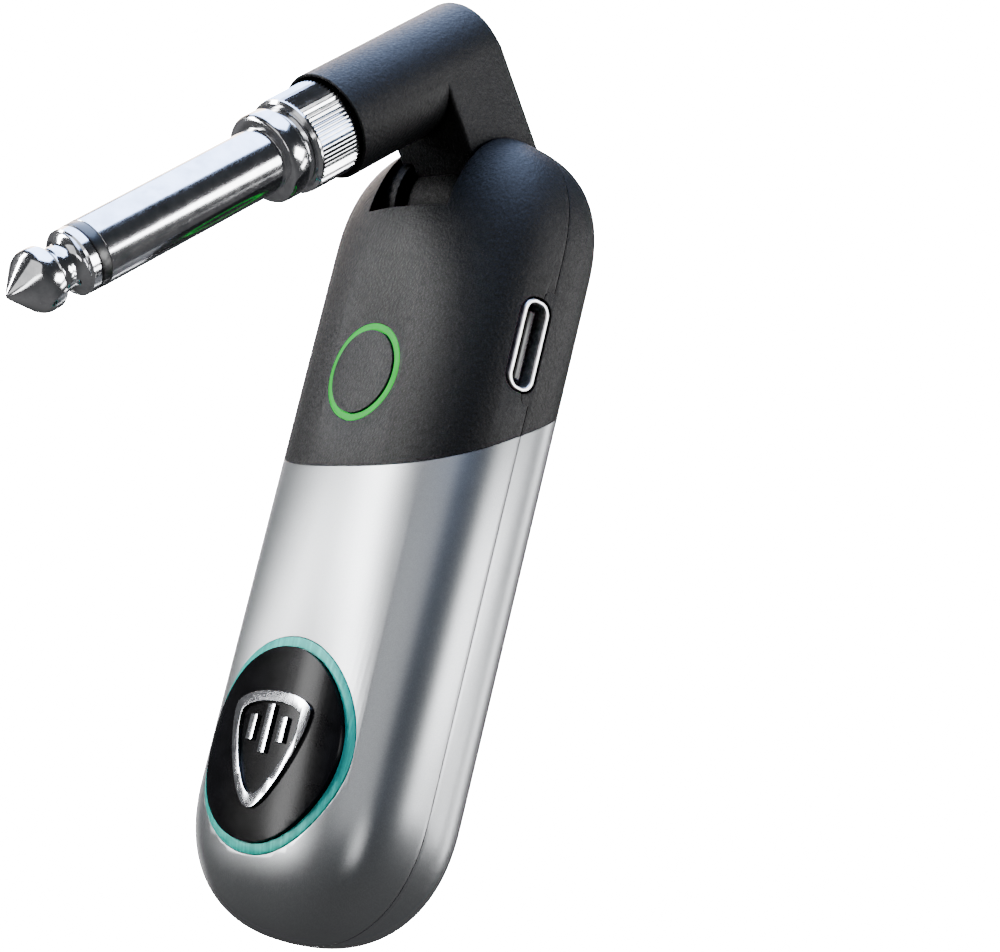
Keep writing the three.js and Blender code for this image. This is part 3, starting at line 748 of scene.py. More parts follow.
@dataclass
class CaseForm:
    """The case's outside: a superellipse in plan, with a dome at each end."""

    half_width: float = 14.26
    half_depth: float = 8.71
    squareness: float = 2.7
    length: float = 80.0
    bottom_dome: float = 13.7
    bottom_curve: float = 2.32
    top_dome: float = 13.4
    top_curve: float = 2.43
    corner_steps: int = 34
    dome_steps: int = 26

    def build(self, name: str, inset: float = 0.0) -> Solid:
        """Builds the solid form, inset from the outside by so many millimetres.

        Args:
            name: The object's name.
            inset: How far inside the case's surface it lies. Negative stands proud.

        Returns:
            The closed form.
        """
        clear_selection()
        bpy.ops.mesh.primitive_cube_add(size=2.0, location=(0, 0, 0))
        piece = added(name)
        pick(piece, "EDGE", lambda middle, along: abs(along.z) > 0.9)
        bpy.ops.mesh.bevel(
            offset=1.0, segments=self.corner_steps, profile=2 ** (-2 / self.squareness), affect="EDGES"
        )
        bpy.ops.mesh.select_all(action="SELECT")
        bpy.ops.mesh.remove_doubles(threshold=0.0005)
        bpy.ops.object.mode_set(mode="OBJECT")
        low, high = self.bottom_dome, self.length - self.top_dome
        piece.scale = Vector((self.half_width - inset, self.half_depth - inset, (high - low) / 2)) * MM
        piece.location = (0, 0, (high + low) / 2 * MM)
        settle(piece)
        self.add_dome(piece, 1.0, high, self.top_dome - inset, self.top_curve)
        self.add_dome(piece, -1.0, low, self.bottom_dome - inset, self.bottom_curve)
        tidy_mesh(piece)
        return piece

    def add_dome(self, piece: Solid, way: float, start: float, height: float, curve: float) -> None:
        """Pulls the end face out into a dome, ring by ring.

        Args:
            piece: The form so far.
            way: 1 for the top and -1 for the bottom.
            start: Height at which the dome starts.
            height: How tall the dome is.
            curve: The dome's superellipse power.
        """
        pick(piece, "FACE", lambda middle, normal: normal.z * way > 0.9)
        size, level = 1.0, start
        for step in range(1, self.dome_steps + 1):
            turn = radians(90) * step / self.dome_steps
            next_size = math.cos(turn) ** (2 / curve) if step < self.dome_steps else 0.0
            next_level = start + way * height * math.sin(turn) ** (2 / curve)
            pull((0, 0, (next_level - level) * MM))
            if next_size:
                ratio = next_size / size
                bpy.ops.transform.resize(value=(ratio, ratio, 1), center_override=(0, 0, next_level * MM))
            else:
                bpy.ops.mesh.merge(type="CENTER")
            size, level = next_size, next_level
        bpy.ops.object.mode_set(mode="OBJECT")


def above_slope(name: str, height: float, slope: float, half_width: float, way: float = 1.0) -> Solid:
    """Builds a solid that fills all that lies above or below a plane tilted about X.

    Args:
        name: The object's name.
        height: Height of the plane where y is 0.
        slope: How much the plane rises for each millimetre of y.
        half_width: How far it reaches each way along X.
        way: 1 for above and -1 for below.

    Returns:
        The tool solid.
    """
    near, far = height - slope * FAR, height + slope * FAR
    end = way * 4 * FAR
    corners = [(-FAR, near), (FAR, far), (FAR, end), (-FAR, end)]
    return drawn(name, corners, (-half_width, half_width), ALONG_X)


@dataclass
class Case:
    """The two black upper shells and the two silver lower shells."""

    form: CaseForm = field(default_factory=CaseForm)
    wall: float = 1.5
    parting_height: float = 49.7
    parting_slope: float = 0.665
    parting_gap: float = 0.07
    seam_gap: float = 0.09
    seam_jog: float = 1.1
    jog_bottom: float = 52.6
    jog_top: float = 63.7
    jog_inside: float = 8.0
    slot_half_width: float = 5.7
    slot_floor: float = 65.4
    slot_slope: float = -0.56
    floor_wall: float = 1.8
    hinge_height: float = 72.3
    hub_radius: float = 6.8
    hub_face: float = -4.0
    axle_radius: float = 2.05
    axle_half: float = 8.7
    slot_round: float = 0.28
    hub_round: float = 0.2
    jog_round: float = 0.7
    edge_round: float = 0.07

    def build_whole(self) -> Solid:
        """Builds the case in one piece: domed form, fork slot, hub and cavity."""
        whole = self.form.build("case_form")
        slot = above_slope("slot", self.slot_floor, self.slot_slope, self.slot_half_width)
        combine(whole, Cut.REMOVE, slot)
        ease_edges(whole, self.slot_round, 3)
        level = self.hinge_height
        hub = rod("hub", self.hub_radius, (-self.slot_half_width - 1, 0, level), (self.hub_face, 0, level))
        ease_edges(hub, self.hub_round, 3)
        combine(whole, Cut.JOIN, hub)
        cavity = self.form.build("cavity", self.wall)
        below = above_slope("below", self.slot_floor - self.floor_wall, self.slot_slope, FAR, -1.0)
        combine(cavity, Cut.KEEP, below)
        ends = (-self.axle_half, 0, level), (self.axle_half, 0, level)
        axle = rod("axle_pocket", self.axle_radius, *ends, 48)
        combine(whole, Cut.REMOVE, cavity, axle)
        return whole

    def jog(self, edge: float) -> Solid:
        """Builds the step that takes the seam forward to the middle of the charging port."""
        low = (self.jog_inside, -self.seam_jog + edge, self.jog_bottom)
        high = (FAR, self.seam_gap / 2 + 0.01, self.jog_top)
        step = cube("seam_jog", low, high)
        near = -0.5 * MM
        round_picked(step, self.jog_round, 6, lambda middle, along: abs(along.x) > 0.9 and middle.y < near)
        return step

    def build(self, cuts: dict[str, list[Callable[[], Solid]]]) -> None:
        """Parts the case into its four shells and dresses them.

        Args:
            cuts: For each shell's name, what makes the tools that cut its own openings.
        """
        whole = self.build_whole()
        lower = copy_of(whole, "lower_shell")
        gap, slope = self.parting_gap / 2, self.parting_slope
        combine(whole, Cut.KEEP, above_slope("upper", self.parting_height + gap, slope, FAR))
        combine(lower, Cut.KEEP, above_slope("lower", self.parting_height - gap, slope, FAR, -1.0))
        for half, finish, title in ((whole, GRAINED_ABS, "upper"), (lower, SILVER_PAINT, "lower")):
            for side, way in (("front", -1.0), ("rear", 1.0)):
                name = f"{title}_{side}_shell"
                shell = copy_of(half, f"{name}_look")
                near, far = sorted((way * self.seam_gap / 2, way * FAR))
                keep = cube("half", (-FAR, near, -FAR), (FAR, far, 4 * FAR))
                if title == "upper" and side == "rear":
                    combine(keep, Cut.JOIN, self.jog(self.seam_gap / 2))
                combine(shell, Cut.KEEP, keep)
                if title == "upper" and side == "front":
                    combine(shell, Cut.REMOVE, self.jog(-self.seam_gap / 2))
                for tool in cuts.get(name, []):
                    combine(shell, Cut.REMOVE, tool())
                ease_edges(shell, self.edge_round, 2, 50.0)
                hand_over(shell, Body.CASE, finish, angle=30.0)
        discard(whole, lower)


# ---- Badges ----


def plectrum(scale: float) -> Outline:
    """Gives a plectrum's outline, point down.

    Args:
        scale: Its size, where 1 is 10.8 mm wide.

    Returns:
        The outline's points.
    """
    curves = [
        ((0.0, -6.2), (2.2, -6.2), (5.6, 0.6), (5.4, 3.2)),
        ((5.4, 3.2), (5.2, 5.4), (-5.2, 5.4), (-5.4, 3.2)),
        ((-5.4, 3.2), (-5.6, 0.6), (-2.2, -6.2), (0.0, -6.2)),
    ]
    points = []
    for a, b, c, d in curves:
        for step in range(16):
            t = step / 16
            parts = ((1 - t) ** 3, 3 * t * (1 - t) ** 2, 3 * t * t * (1 - t), t**3)
            u = sum(weight * corner[0] for weight, corner in zip(parts, (a, b, c, d)))
            v = sum(weight * corner[1] for weight, corner in zip(parts, (a, b, c, d)))
            points.append((u * scale, v * scale))
    return points


@dataclass
class Badge:
    """One round badge: a brushed trim ring, a black lens and a raised plectrum emblem."""

    side: str
    way: float
    lens_node: str
    proud: float
    form: CaseForm = field(default_factory=CaseForm)
    height: float = 17.0
    outer: float = 10.2
    inner: float = 9.28
    lens: float = 9.2
    pocket: float = 0.9
    seat: float = 0.6
    emblem_rise: float = 0.34
    line: float = 1.0
    bar_half_width: float = 0.5
    bar_middle: float = 1.3
    bars: tuple[Pair, ...] = ((-2.2, 1.2), (0.0, 2.3), (2.2, 1.2))

    def along(self, name: str, radius: float, sides: int = 160) -> Solid:
        """Builds a rod through this side of the badge's place."""
        return rod(name, radius, (0, 0, self.height), (0, self.way * FAR, self.height), sides)

    def pocket_tool(self) -> Solid:
        """Builds the tool that sinks the badge's seat into the shell."""
        tool = self.along("pocket", self.outer + 0.09)
        combine(tool, Cut.REMOVE, self.form.build("pocket_floor", self.pocket))
        return tool

    def layer(self, piece: Solid, inner: float, outer: float) -> Solid:
        """Keeps what lies between two insets of the case's form."""
        combine(piece, Cut.KEEP, self.form.build("outside", outer))
        combine(piece, Cut.REMOVE, self.form.build("inside", inner))
        return piece

    def build_ring(self) -> None:
        """Builds the brushed ring, which lies almost flush with the shell."""
        ring = self.along(f"{self.side}_badge_ring_look", self.outer)
        combine(ring, Cut.REMOVE, self.along("hole", self.inner))
        self.layer(ring, self.seat, -0.06)
        ease_edges(ring, 0.07, 2, 50.0)
        hand_over(ring, Body.CASE, TEAL_TRIM)

    def build_lens(self) -> None:
        """Builds the black lens, with a rounded edge where it stands proud of the ring."""
        lens = self.along(f"{self.side}_badge_lens_look", self.lens)
        self.layer(lens, self.seat, -self.proud)
        ease_edges(lens, 0.38 if self.proud > 0.2 else 0.1, 5, 50.0)
        hand_over(lens, Body.CASE, PIANO_BLACK, self.lens_node)

    def emblem_shapes(self) -> list[Solid]:
        """Builds the emblem's solids: an outline, a string and three level bars."""
        place = Matrix.Translation((0, 0, self.height * MM)) @ TURN_X
        depth = (0.0, FAR) if self.way < 0 else (-FAR, 0.0)
        outline = drawn("plectrum", plectrum(1.0), depth, place)
        inside = drawn("plectrum_inside", plectrum(1.0 - self.line / 5), (-FAR, FAR), place)
        combine(outline, Cut.REMOVE, inside)
        shapes = [outline]
        for u, half in self.bars:
            left, right = u - self.bar_half_width, u + self.bar_half_width
            low, high = self.bar_middle - half, self.bar_middle + half
            corners = [(left, low), (right, low), (right, high), (left, high)]
            shapes.append(drawn("bar", corners, depth, place))
        return shapes

    def build_emblem(self) -> None:
        """Builds the raised chrome emblem, which follows the lens."""
        first, *others = self.emblem_shapes()
        first.name = f"{self.side}_emblem_look"
        combine(first, Cut.JOIN, *others)
        self.layer(first, -(self.proud - 0.02), -(self.proud + self.emblem_rise))
        ease_edges(first, 0.15, 3, 50.0)
        hand_over(first, Body.CASE, EMBLEM_CHROME)

    def build(self) -> None:
        """Builds the ring, the lens and the emblem."""
        self.build_ring()
        self.build_lens()
        self.build_emblem()


# ---- Button, lights and port ----


@dataclass
class Button:
    """The multi-function button, its lit ring, and the lit window at the rear."""

    form: CaseForm = field(default_factory=CaseForm)
    height: float = 53.3
    cap_radius: float = 4.12
    cap_proud: float = 0.2
    cap_back: float = 6.3
    ring_outer: float = 4.86
    ring_inner: float = 4.24
    ring_back: float = 7.0
    window_half: float = 6.5
    window_top: float = 56.95
    window_back: float = 6.6
    window_low: float = 49.0
    window_corner: float = 1.1
    window_foot: float = 49.85
    window_foot_slope: float = 0.665

    def along(self, name: str, radius: float, back: float) -> Solid:
        """Builds a rod from behind the front wall out through it."""
        return rod(name, radius, (0, -back, self.height), (0, -FAR, self.height), 128)

    def hole_tool(self) -> Solid:
        """Builds the tool that opens the front shell for the ring and the cap."""
        return rod("button_hole", self.ring_outer + 0.05, (0, -4, self.height), (0, -FAR, self.height), 128)

    def window_solid(self, name: str, extra: float) -> Solid:
        """Builds the window's solid, with its two top corners rounded.

        Args:
            name: The object's name.
            extra: How much larger it is than the window itself.

        Returns:
            The solid.
        """
        half, top = self.window_half + extra, self.window_top + extra
        corner, low = self.window_corner, self.window_low
        right = arc((half - corner, top - corner), corner, 0, 90, 8)
        left = arc((-half + corner, top - corner), corner, 90, 180, 8)
        outline = [(half, low), *right, *left, (-half, low)]
        return drawn(name, outline, (-FAR, -self.window_back), TURN_X)

    def window_tool(self) -> Solid:
        """Builds the tool that opens the rear shell for the window."""
        return self.window_solid("window_hole", 0.06)

    def build(self) -> None:
        """Builds the cap, the ring and the window."""
        ring = self.along("button_light_ring_look", self.ring_outer, self.ring_back)
        combine(ring, Cut.REMOVE, self.along("ring_hole", self.ring_inner, 0))
        combine(ring, Cut.KEEP, self.form.build("ring_face", -0.02))
        ease_edges(ring, 0.05, 2, 50.0)
        hand_over(ring, Body.CASE, GREEN_GUIDE)
        cap = self.along("button_cap_look", self.cap_radius, self.cap_back)
        combine(cap, Cut.KEEP, self.form.build("cap_face", -self.cap_proud))
        ease_edges(cap, 0.22, 4, 50.0)
        hand_over(cap, Body.BUTTON, GRAINED_ABS)
        window = self.window_solid("rear_light_window_look", 0.0)
        combine(window, Cut.KEEP, self.form.build("window_face", 0.05))
        foot = above_slope("window_foot", self.window_foot, self.window_foot_slope, FAR)
        combine(window, Cut.KEEP, foot)
        ease_edges(window, 0.08, 2, 50.0)
        hand_over(window, Body.CASE, GREEN_WINDOW)


@dataclass
class ChargingPort:
    """The USB-C inlet: a stamped shell with a rolled rim and a plastic tongue."""

    height: float = 58.1
    y: float = -1.5
    length: float = 8.94
    width: float = 3.26
    wall: float = 0.42
    corner: float = 1.4
    inside: float = 6.9
    face: float = 14.2
    blade_half_width: float = 0.35
    blade_half_length: float = 3.35
    blade_recess: float = 0.7
    base_span: Pair = (0.6, 1.8)

    def block(self, name: str, extra: float, x0: float, x1: float) -> Solid:
        """Builds a rounded block along X with the port's outline.

        Args:
            name: The object's name.
            extra: How far its sides lie outside the port's.
            x0: Its inner end.
            x1: Its outer end.

        Returns:
            The block.
        """
        half_width, half_length = self.width / 2 + extra, self.length / 2 + extra
        low = (x0, self.y - half_width, self.height - half_length)
        high = (x1, self.y + half_width, self.height + half_length)
        piece = cube(name, low, high)
        round_picked(piece, self.corner + extra, 14, lambda middle, along: abs(along.x) > 0.9)
        return piece

    def hole_tool(self) -> Solid:
        """Builds the tool that opens the shell for the port."""
        return self.block("port_hole", 0.2, self.inside - 3, FAR)

    def build(self) -> None:
        """Builds the steel shell and the tongue inside it."""
        shell = self.block("usb_port_shell_look", 0.0, self.inside, self.face)
        pick(shell, "FACE", lambda middle, normal: normal.x > 0.9)
        bpy.ops.mesh.inset(thickness=self.wall * MM)
        deep = self.face - self.inside - self.wall
        pull((-deep * MM, 0, 0))
        bpy.ops.object.mode_set(mode="OBJECT")
        ease_edges(shell, 0.14, 4)
        hand_over(shell, Body.CASE, PORT_STEEL)
        thin, long = self.blade_half_width, self.blade_half_length
        low = (self.inside + 1, self.y - thin, self.height - long)
        high = (self.face - self.blade_recess, self.y + thin, self.height + long)
        tongue = cube("usb_port_tongue_look", low, high)
        ease_edges(tongue, 0.12, 3)
        back, front = (self.inside + step for step in self.base_span)
        base = self.block("tongue_base", -self.wall - 0.05, back, front)
        combine(tongue, Cut.JOIN, base)
        hand_over(tongue, Body.CASE, INSULATOR)


# ---- The folding arm ----

HINGE_HEIGHT = 72.3
HINGE_TILT = radians(44.3)
ARM_PLACE = Matrix.Translation((0, 0, HINGE_HEIGHT * MM)) @ Matrix.Rotation(HINGE_TILT, 4, "X")
ARM_REACH = 15.0
PLUG_PLACE = ARM_PLACE @ Matrix.Translation((0, 0, ARM_REACH * MM)) @ TURN_X


@dataclass
class FoldingArm:
    """The arm between the prongs: a flat bar with a round eye, and a barrel that holds the plug."""

    half_width: float = 5.25
    inner: float = 2.0
    outer: float = 6.5
    bend: float = 4.0
    eye: float = 5.7
    barrel_end: float = 13.6
    socket_radius: float = 4.98
    socket_depth: float = 3.4
    core_radius: float = 3.5
    core_floor: float = 4.7
    relief_radius: float = 7.1
    relief_face: float = -3.5
    axle_radius: float = 2.1
    edge_round: float = 1.0
    long_round: float = 0.4
    mouth_round: float = 0.12
    barrel_back: float = 1.6
    mark_depth: float = 0.28
    mark_half_width: float = 0.45
    mark_round: float = 0.44
    mark_middle: float = 11.5
    marks: tuple[Pair, ...] = ((-2.0, 5.0), (0.0, 8.0), (2.0, 5.0))

    def outline(self) -> Outline:
        """Gives the bar's side outline in the arm's Y and Z, from its eye to well past its top."""
        corner = math.hypot(self.outer, self.bend)
        leave = math.pi - math.asin(self.eye / corner) - math.atan2(self.bend, self.outer)
        arrive = 2 * math.pi - math.asin(self.inner / self.eye)
        points = [(self.outer, 2 * ARM_REACH), (self.outer, self.bend)]
        steps = 48
        for step in range(steps + 1):
            turn = leave + (arrive - leave) * step / steps
            points.append((self.eye * math.sin(turn), self.eye * math.cos(turn)))
        points.append((-self.inner, 2 * ARM_REACH))
        return points

    def build_bar(self) -> Solid:
        """Builds the bar: its side outline kept inside a tall slot shape with a round top."""
        half = self.half_width
        bar = drawn("arm_housing_look", self.outline(), (-half, half), ALONG_X)
        top = arc((0.0, ARM_REACH), half, 0.0, 180.0, 64)
        combine(bar, Cut.KEEP, drawn("round_top", [(half, -FAR), *top, (-half, -FAR)], (-FAR, FAR), TURN_X))
        return bar

    def round_bar(self, bar: Solid) -> None:
        """Rounds the outer face's rim, and the long corners beside the slot."""
        face, side, near = self.outer * MM, self.half_width * MM, 0.02 * MM
        top, below = ARM_REACH * MM, min(face - self.edge_round * MM * 1.5, self.eye * MM)

        def on_rim(middle: Vector, along: Vector) -> bool:
            """Tells the edges round the outer face."""
            return abs(middle.y - face) < near and abs(along.y) < 0.1

        def on_corner(middle: Vector, along: Vector) -> bool:
            """Tells the long edges where the bar's sides meet its other faces."""
            beside = abs(abs(middle.x) - side) < near and abs(along.x) < 0.1
            return beside and middle.z < top and middle.y < below

        round_picked(bar, self.edge_round, 5, on_rim)
        round_picked(bar, self.long_round, 4, on_corner)

    def build_barrel(self) -> Solid:
        """Builds the barrel, a hair inside the bar's round top, with a thin eased mouth."""
        back = (0, self.outer - self.barrel_back, ARM_REACH)
        barrel = rod("barrel", self.half_width - 0.004, back, (0, -self.barrel_end, ARM_REACH), 128)
        mouth, near = -self.barrel_end * MM, 0.02 * MM

        def at_mouth(middle: Vector, along: Vector) -> bool:
            """Tells the edges round the barrel's open end."""
            return abs(middle.y - mouth) < near and abs(along.y) < 0.1

        round_picked(barrel, self.mouth_round, 3, at_mouth)
        return barrel

    def mark_tools(self) -> list[Solid]:
        """Builds the tools for three level bars engraved in the outer face."""
        tools = []
        half = self.mark_half_width
        for x, length in self.marks:
            low = (x - half, self.outer - self.mark_depth, self.mark_middle - length / 2)
            high = (x + half, self.outer + 2, self.mark_middle + length / 2)
            tool = cube("level_mark", low, high)
            round_picked(tool, self.mark_round, 6, lambda middle, along: abs(along.y) > 0.9)
            tools.append(tool)
        return tools

    def build(self) -> None:
        """Builds the arm in its own frame and then sets it at the hinge."""
        body = self.build_bar()
        self.round_bar(body)
        combine(body, Cut.JOIN, self.build_barrel())
        depth = self.barrel_end - self.socket_depth
        ahead = (0, -FAR, ARM_REACH)
        combine(
            body,
            Cut.REMOVE,
            rod("socket", self.socket_radius, ahead, (0, -depth, ARM_REACH), 128),
            rod("core", self.core_radius, ahead, (0, -self.core_floor, ARM_REACH)),
            rod("relief", self.relief_radius, (-FAR, 0, 0), (self.relief_face, 0, 0), 128),
            rod("axle_bore", self.axle_radius, (-FAR, 0, 0), (FAR, 0, 0), 48),
            *self.mark_tools(),
        )
        body.matrix_world = ARM_PLACE
        settle(body)
        hand_over(body, Body.ARM, GRAINED_ABS, angle=28.0)


# ---- The plugs ----


def turn_plug(
    node: str, profile: Outline, body: Body, finish: Finish, steps: int, ease: float = 0, angle: float = 35
) -> None:
    """Turns one piece of a plug about the axis of the plug, named for its CAD node, and hands it over."""
    hand_over(turned(f"{node}_look", profile, PLUG_PLACE, steps, ease), body, finish, angle=angle)


@dataclass
class SmallPlug:
    """The arm's own 3.5 mm plug, which the adapter pushes over."""

    base_radius: float = 3.2
    base_start: float = 5.0
    base_end: float = 15.6
    base_bevel: float = 0.4
    gap: float = 0.02
    radius: float = 1.75
    core: float = 1.0
    bore: float = 0.7
    sleeve_end: float = 22.4
    ring: Pair = (23.4, 25.2)
    tip_start: float = 26.2
    end: float = 29.8

    def build(self) -> None:
        """Builds the base, sleeve, ring, insulator and tip."""
        rim, top, bevel = self.base_radius, self.base_end, self.base_bevel
        base = [(0, self.base_start), (rim, self.base_start), (rim, top - bevel)]
        base += [(rim - bevel, top), (0, top)]
        turn_plug("plug_base", base, Body.ARM, PLUG_CHROME, 96, 0.1)
        tube = self.core + self.gap
        for name, start, end in (("sleeve", top + self.gap, self.sleeve_end), ("ring", *self.ring)):
            profile = [(tube, start), (self.radius, start), (self.radius, end), (tube, end), (tube, start)]
            turn_plug(f"mini_plug_{name}", profile, Body.ARM, PLUG_CHROME, 80, 0.08)
        self.build_insulator()
        self.build_tip()

    def build_insulator(self) -> None:
        """Builds the black core, which shows as two rings between the contacts."""
        low, high = self.base_end + 0.6, self.tip_start - self.gap
        rim, core = self.radius - 0.06, self.core
        profile = [(self.bore, low), (core, low)]
        for start, end in ((self.sleeve_end, self.ring[0]), (self.ring[1], self.tip_start)):
            start, end = start + self.gap, end - self.gap
            profile += [(core, start), (rim, start), (rim, end), (core, end)]
        profile[-1] = (self.bore, high)
        turn_plug("mini_plug_insulator", [*profile, profile[0]], Body.ARM, INSULATOR, 64)

    def build_tip(self) -> None:
        """Builds the small tip with its catch groove."""
        start, rim = self.tip_start, self.radius - 0.05
        rod_radius = self.bore - 0.05
        profile = [(0, self.base_end + 1), (rod_radius, self.base_end + 1), (rod_radius, start)]
        profile += [(rim, start), (rim, start + 0.35), *arc((rim + 0.15, start + 1.05), 0.66, 220, 140, 8)]
        profile += [(rim - 0.02, start + 1.9), (rim - 0.12, start + 2.4), (rim - 0.5, start + 3.0)]
        profile += [(0.5, self.end - 0.16), (0.25, self.end - 0.03), (0, self.end)]
        turn_plug("mini_plug_tip", profile, Body.ARM, PLUG_CHROME, 80)


@dataclass
class Adapter:
    """The full-size 6.35 mm plug adapter: knurled collar, flange, shaft, insulator and tip."""

    collar_start: float = 10.5
    knurl_end: float = 18.35
    collar_end: float = 18.9
    collar_radius: float = 4.7
    teeth: int = 70
    tooth_depth: float = 0.17
    bore: float = 3.75
    bore_floor: float = 17.3
    spigot: float = 3.0
    seat_gap: float = 0.2
    groove: float = 3.9
    flange: float = 4.35
    shoulder: float = 22.0
    radius: float = 3.175
    sleeve_end: float = 43.4
    sleeve_bore: float = 2.1
    tip_start: float = 44.5
    tip_apex: float = 52.75
    stem: float = 0.8
    stem_start: float = 31.5
    cup: Pair = (1.0, 1.5)
    cup_levels: Place = (30.1, 30.5, 31.2)

    def build_collar(self) -> None:
        """Builds the straight-knurled collar, with a plain chamfered ring at its front end."""
        clear_selection()
        length = self.knurl_end - self.collar_start
        middle = (self.knurl_end + self.collar_start) / 2
        bpy.ops.mesh.primitive_cylinder_add(
            vertices=2 * self.teeth,
            radius=self.collar_radius * MM,
            depth=length * MM,
            location=(0, 0, middle * MM),
        )
        collar = settle(added("adapter_collar_look"))
        step = math.pi / self.teeth

        def is_groove(place: Vector, normal: Vector) -> bool:
            """Tells every other vertex round the rim."""
            return round(math.atan2(place.x, place.y) / step) % 2 == 1

        pick(collar, "VERT", is_groove)
        inward = 1 - self.tooth_depth / self.collar_radius
        bpy.ops.transform.resize(value=(inward, inward, 1), center_override=(0, 0, 0))
        bpy.ops.object.mode_set(mode="OBJECT")
        rim, seat_radius = self.collar_radius - 0.06, self.spigot + self.seat_gap
        start, end = self.knurl_end, self.collar_end
        profile = [(seat_radius, start - 0.3), (rim - 0.2, start - 0.3), (rim - 0.2, start)]
        profile += [(rim, start + 0.12), (rim, end - 0.25), (rim - 0.3, end), (seat_radius, end)]
        ring = turned("collar_ring", [*profile, profile[0]], Matrix.Identity(4), 140)
        bore = rod("collar_bore", self.bore, (0, 0, self.collar_start - 1), (0, 0, self.bore_floor))
        seat = rod("collar_seat", seat_radius, (0, 0, self.collar_start), (0, 0, end + 1))
        combine(collar, Cut.REMOVE, bore, seat)
        combine(collar, Cut.JOIN, ring)
        collar.matrix_world = PLUG_PLACE
        settle(collar)
        hand_over(collar, Body.ADAPTER, PLUG_CHROME, angle=12.0)

    def build_sleeve(self) -> None:
        """Builds the flange and the long shaft."""
        end = self.collar_end
        low = self.bore_floor + 0.2
        profile = [(self.sleeve_bore, low), (self.spigot, low), (self.spigot, end + 0.05)]
        profile += [(self.groove, end + 0.05), (self.groove, end + 0.75), (self.flange - 0.25, end + 0.95)]
        profile += [(self.flange, end + 1.2), (self.flange, self.shoulder - 0.45)]
        profile += [(self.flange - 0.14, self.shoulder - 0.14), (self.flange - 0.5, self.shoulder)]
        profile += [(self.radius, self.shoulder), (self.radius, self.sleeve_end)]
        profile += [(self.sleeve_bore, self.sleeve_end), (self.sleeve_bore, low)]
        turn_plug("adapter_sleeve", profile, Body.ADAPTER, PLUG_CHROME, 144, 0.06)

    def build_insulator(self) -> None:
        """Builds the black ring between the shaft and the tip, and its hidden stem."""
        hole, stem, rim = self.stem + 0.05, self.sleeve_bore - 0.05, self.radius - 0.02
        low, start, end = self.stem_start + 0.1, self.sleeve_end + 0.02, self.tip_start - 0.02
        profile = [(hole, low), (stem, low), (stem, start), (rim, start), (rim, end), (hole, end)]
        profile.append(profile[0])
        turn_plug("adapter_insulator", profile, Body.ADAPTER, INSULATOR, 128, 0.07)

    def build_tip(self) -> None:
        """Builds the tip: a ring, a hollow neck, a shouldered bulb, a cone and a small nib."""
        start = self.tip_start
        profile = [(0, self.stem_start), (self.stem, self.stem_start), (self.stem, start)]
        profile += [(3.0, start), (3.13, start + 0.12), (3.13, start + 0.95), (2.98, start + 1.12)]
        profile += arc((3.2, start + 2.2), 1.08, 258, 172, 12)
        profile += [(2.15, start + 2.62), *arc((2.85, start + 3.25), 0.82, 205, 172, 4)]
        profile += [(2.3, start + 3.5), (2.78, start + 3.72), (2.93, start + 3.98), (2.95, start + 4.3)]
        profile += [(2.95, start + 4.95), (2.86, start + 5.3), (2.62, start + 5.72)]
        apex = self.tip_apex
        profile += [(0.62, apex - 0.42), (0.42, apex - 0.22), (0.22, apex - 0.05), (0, apex)]
        turn_plug("adapter_tip", profile, Body.ADAPTER, PLUG_CHROME, 128, angle=22.0)

    def build_contact(self) -> None:
        """Builds the sprung brass cup that touches the small plug's tip."""
        inner, outer = self.cup
        lip, floor, back = self.cup_levels
        profile = [(0, floor), (inner, floor), (inner, lip), (outer, lip), (outer, back), (0, back)]
        turn_plug("adapter_contact", profile, Body.ADAPTER, CONTACT_BRASS, 48, 0.05)

    def build(self) -> None:
        """Builds every piece of the adapter."""
        self.build_collar()
        self.build_sleeve()
        self.build_insulator()
        self.build_tip()
        self.build_contact()


# ---- What the CAD frame shows as it is ----

INNER_FINISHES: dict[str, Finish] = {
    "main_circuit_board": SOLDER_RESIST,
    "board_screw_left": PORT_STEEL,
    "board_screw_right": PORT_STEEL,
    "tact_switch": INSULATOR,
    "ring_lamp_left": FIRED_CERAMIC,
    "ring_lamp_right": FIRED_CERAMIC,
    "window_lamp": FIRED_CERAMIC,
    "radio_shield_can": PORT_STEEL,
    "chip_antenna": FIRED_CERAMIC,
    "battery_cell": POUCH_FOIL,
    "battery_foam_pad": CELL_FOAM,
    "hinge_axle": PORT_STEEL,
    "hinge_washer_left": PORT_STEEL,
    "hinge_washer_right": PORT_STEEL,
}


def dress_inner_parts() -> None:
    """Gives the parts inside the case, and the hinge pin, their own finishes."""
    for name, finish in INNER_FINISHES.items():
        finish.dress(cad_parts[name])
        LOG.info("%s keeps its CAD shape, in %s", name, finish.name)


# ---- Studio ----


@dataclass
class Lamp:
    """One soft light, aimed at a point."""

    name: str
    place: Place
    size: Pair
    power: float
    colour: str = "#FFFFFF"
    aim: Place = (0.0, 0.02, -0.025)

    def build(self) -> None:
        """Adds the area light."""
        clear_selection()
        way = Vector(self.aim) - Vector(self.place)
        turn = way.to_track_quat("-Z", "Y").to_euler()
        bpy.ops.object.light_add(type="AREA", location=self.place, rotation=turn)
        lamp = added(self.name)
        lamp.data.shape = "RECTANGLE"
        lamp.data.size, lamp.data.size_y = self.size
        lamp.data.energy = self.power
        lamp.data.color = linear(self.colour)[:3]


